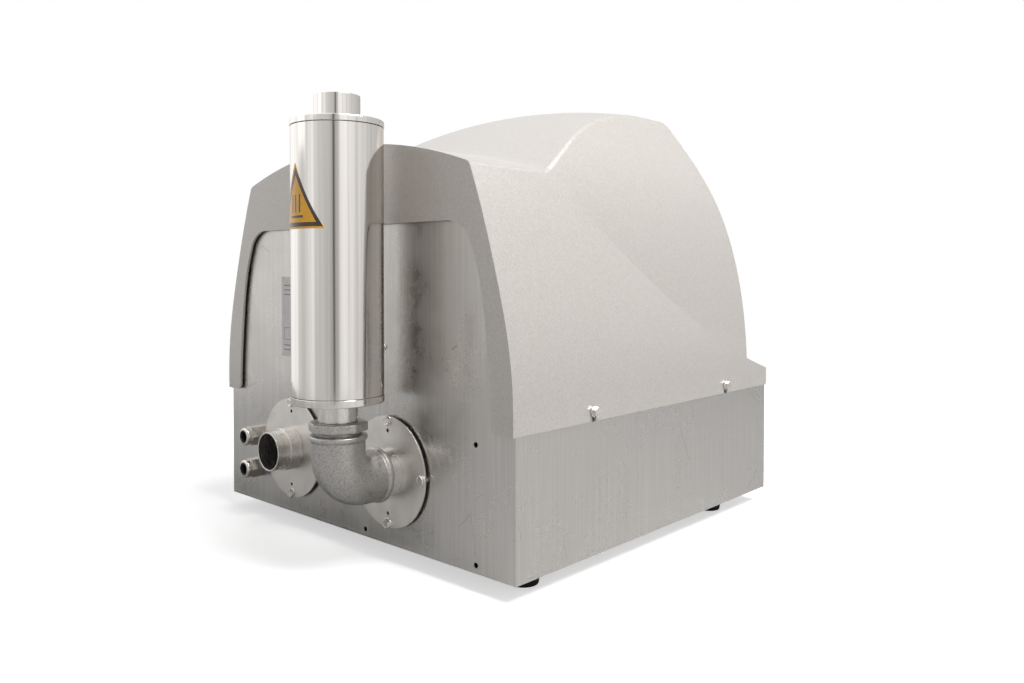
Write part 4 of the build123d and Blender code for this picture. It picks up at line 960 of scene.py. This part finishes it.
# ------------------------------------------------------------------ stage
class BLOWER_OT_stage(bpy.types.Operator):
    """Sets the pale floor, the soft lights, the studio surroundings and the camera"""
    bl_idname = "blower.stage"
    bl_label = "Studio"

    def execute(self, context):
        look = context.scene.stage_look
        self.floor(look)
        self.surroundings()
        self.lights()
        self.camera(look)
        context.scene.view_settings.view_transform = "Standard"
        return {"FINISHED"}

    def floor(self, look):
        """A round pale floor under the unit."""
        bpy.ops.object.select_all(action="DESELECT")
        bpy.ops.mesh.primitive_circle_add(vertices=128, radius=look.floor_radius, fill_type="NGON",
                                          location=(0, 0, 0))
        floor = bpy.context.object
        floor.name = "studio_floor"
        settle(floor)
        material, tree, shader, place = new_finish("pale_studio_paper", {"Roughness": 0.9,
                                                                         "Specular IOR Level": 0.1})
        grain = add_node(tree, NOISE, {"Vector": place, "Scale": per_mm(60), "Detail": 3.0})
        tone = add_node(tree, "ShaderNodeMixRGB", {"Fac": grain.outputs["Fac"], "Color1": look.floor,
                                                   "Color2": linear("#FAFAFA")})
        # The unit sees a greyer floor than the camera does, which keeps its lower faces from washing out.
        path = add_node(tree, "ShaderNodeLightPath").outputs
        shown = add_node(tree, "ShaderNodeMixRGB", {"Fac": path["Is Camera Ray"], "Color1": linear("#C0C0C0"),
                                                    "Color2": tone.outputs["Color"]})
        tree.links.new(shown.outputs["Color"], shader.inputs["Base Color"])
        shader.inputs["Emission Color"].default_value = (1, 1, 1, 1)
        add_node(tree, MATH, [path["Is Camera Ray"], 0.55], operation="MULTIPLY",
                 feeds=shader.inputs["Emission Strength"])
        floor.data.materials.append(material)

    def surroundings(self):
        """White backdrop; what polished metal sees is a studio of soft boxes and dark gaps."""
        world = bpy.data.worlds.new("studio")
        bpy.context.scene.world = world
        world.use_nodes = True
        tree = world.node_tree
        tree.nodes.clear()
        way = add_node(tree, "ShaderNodeTexCoord").outputs["Generated"]
        parts = add_node(tree, "ShaderNodeSeparateXYZ", {"Vector": way}).outputs
        angle = add_node(tree, MATH, [parts["Y"], parts["X"]], operation="ARCTAN2")
        turn = add_node(tree, MATH, [angle, 0.5 / math.pi, 0.5], operation="MULTIPLY_ADD")
        # Brightness by direction, in degrees from +X: soft boxes, with dark gaps between them.
        bands = [(-180, 1.2), (-150, 1.15), (-143, .8), (-125, .68), (-110, .84), (-98, 1.05), (-92, .74),
                 (-76, .7), (-55, .58), (-48, .5), (-46, .1), (-43, .1), (-41, .5), (-34, .55), (-29, 1.0),
                 (-14, 1.1), (-9, .8), (-5, 1.0), (7, .87), (11, .6), (15, .85), (29, .76), (48, .65),
                 (75, .6), (110, .45), (160, .8), (180, 1.2)]
        around = add_node(tree, "ShaderNodeValToRGB", {"Fac": turn},
                          stops=[((degrees + 180) / 360, value) for degrees, value in bands])
        above = add_node(tree, "ShaderNodeMapRange", {"Value": parts["Z"], "From Min": -0.1, "From Max": 0.9,
                                                      "To Min": 0.95, "To Max": 1.5})
        boxes = add_node(tree, MATH, [around.outputs["Color"], above.outputs["Result"]], operation="MULTIPLY")
        path = add_node(tree, "ShaderNodeLightPath").outputs
        seen = add_node(tree, "ShaderNodeMixRGB", {"Fac": path["Is Diffuse Ray"], "Color1": boxes,
                                                   "Color2": (0.22, 0.22, 0.225, 1.0)})
        white = add_node(tree, "ShaderNodeMixRGB",
                         {"Fac": path["Is Camera Ray"], "Color1": seen.outputs["Color"],
                                                    "Color2": (1.0, 1.0, 1.0, 1.0)})
        light = add_node(tree, "ShaderNodeBackground", {"Color": white.outputs["Color"], "Strength": 1.0})
        add_node(tree, "ShaderNodeOutputWorld", {"Surface": light.outputs["Background"]})

    def lights(self):
        """One large soft light high above the hood's right side, and a weak one on the panel."""
        for name, place, target, size, power in (
                ("side_light", (1.5, 0.2, 2.6), (0.1, 0.1, 0.3), 1.7, 108.0),
                ("panel_light", (-1.6, -2.2, 1.4), (0, -0.2, 0.3), 1.2, 3.0)):
            data = bpy.data.lights.new(name, "AREA")
            data.shape = "SQUARE"
            data.size = size
            data.energy = power
            light = bpy.data.objects.new(name, data)
            bpy.context.scene.collection.objects.link(light)
            aim = Vector(target) - Vector(place)
            light.matrix_world = Matrix.Translation(place) @ aim.to_track_quat("-Z", "Y").to_matrix().to_4x4()

    def camera(self, look):
        """A level camera at the pipe side's right-hand corner, a little above half height."""
        azimuth, drop = math.radians(42.61), math.radians(1.0665)
        forward = Vector((-math.sin(azimuth) * math.cos(drop), math.cos(azimuth) * math.cos(drop),
                          -math.sin(drop)))
        data = bpy.data.cameras.new("camera")
        data.sensor_width = 36.0
        data.lens = look.lens
        data.shift_y = -0.054
        camera = bpy.data.objects.new("camera", data)
        bpy.context.scene.collection.objects.link(camera)
        place = Matrix.Translation((0.84610, -0.83664, 0.33857))
        camera.matrix_world = place @ forward.to_track_quat("-Z", "Y").to_matrix().to_4x4()
        bpy.context.scene.camera = camera


# ------------------------------------------------------------------ add-on
SETTINGS = {"hood_look": HoodLook, "sheet_look": SheetLook, "pipe_look": PipeLook, "stage_look": StageLook}
STEPS = (BLOWER_OT_hood, BLOWER_OT_lining, BLOWER_OT_base_box, BLOWER_OT_feet, BLOWER_OT_flanges,
         BLOWER_OT_inlet, BLOWER_OT_castings, BLOWER_OT_silencer, BLOWER_OT_labels, BLOWER_OT_fasteners,
         BLOWER_OT_glands, BLOWER_OT_machine, BLOWER_OT_stage)


class BLOWER_PT_sidebar(bpy.types.Panel):
    """Lists the unit's pieces and settings"""
    bl_idname = "BLOWER_PT_sidebar"
    bl_label = "Blower Unit"
    bl_space_type = "VIEW_3D"
    bl_region_type = "UI"
    bl_category = "Blower Unit"

    def draw(self, context):
        column = self.layout.column()
        for step in STEPS:
            column.operator(step.bl_idname)
        for name, group in SETTINGS.items():
            box = self.layout.box()
            for setting in group.__annotations__:
                box.prop(getattr(context.scene, name), setting)


def register():
    """Registers the settings, the operators and the panel."""
    for name, group in SETTINGS.items():
        bpy.utils.register_class(group)
        setattr(bpy.types.Scene, name, bpy.props.PointerProperty(type=group))
    for step in STEPS:
        bpy.utils.register_class(step)
    bpy.utils.register_class(BLOWER_PT_sidebar)


def unregister():
    """Takes away what register added."""
    bpy.utils.unregister_class(BLOWER_PT_sidebar)
    for step in reversed(STEPS):
        bpy.utils.unregister_class(step)
    for name, group in SETTINGS.items():
        delattr(bpy.types.Scene, name)
        bpy.utils.unregister_class(group)


def main():
    """Makes the whole unit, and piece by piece."""
    register()
    for step in STEPS:
        family, name = step.bl_idname.split(".")
        getattr(getattr(bpy.ops, family), name)()


if __name__ == "__main__":
    main()
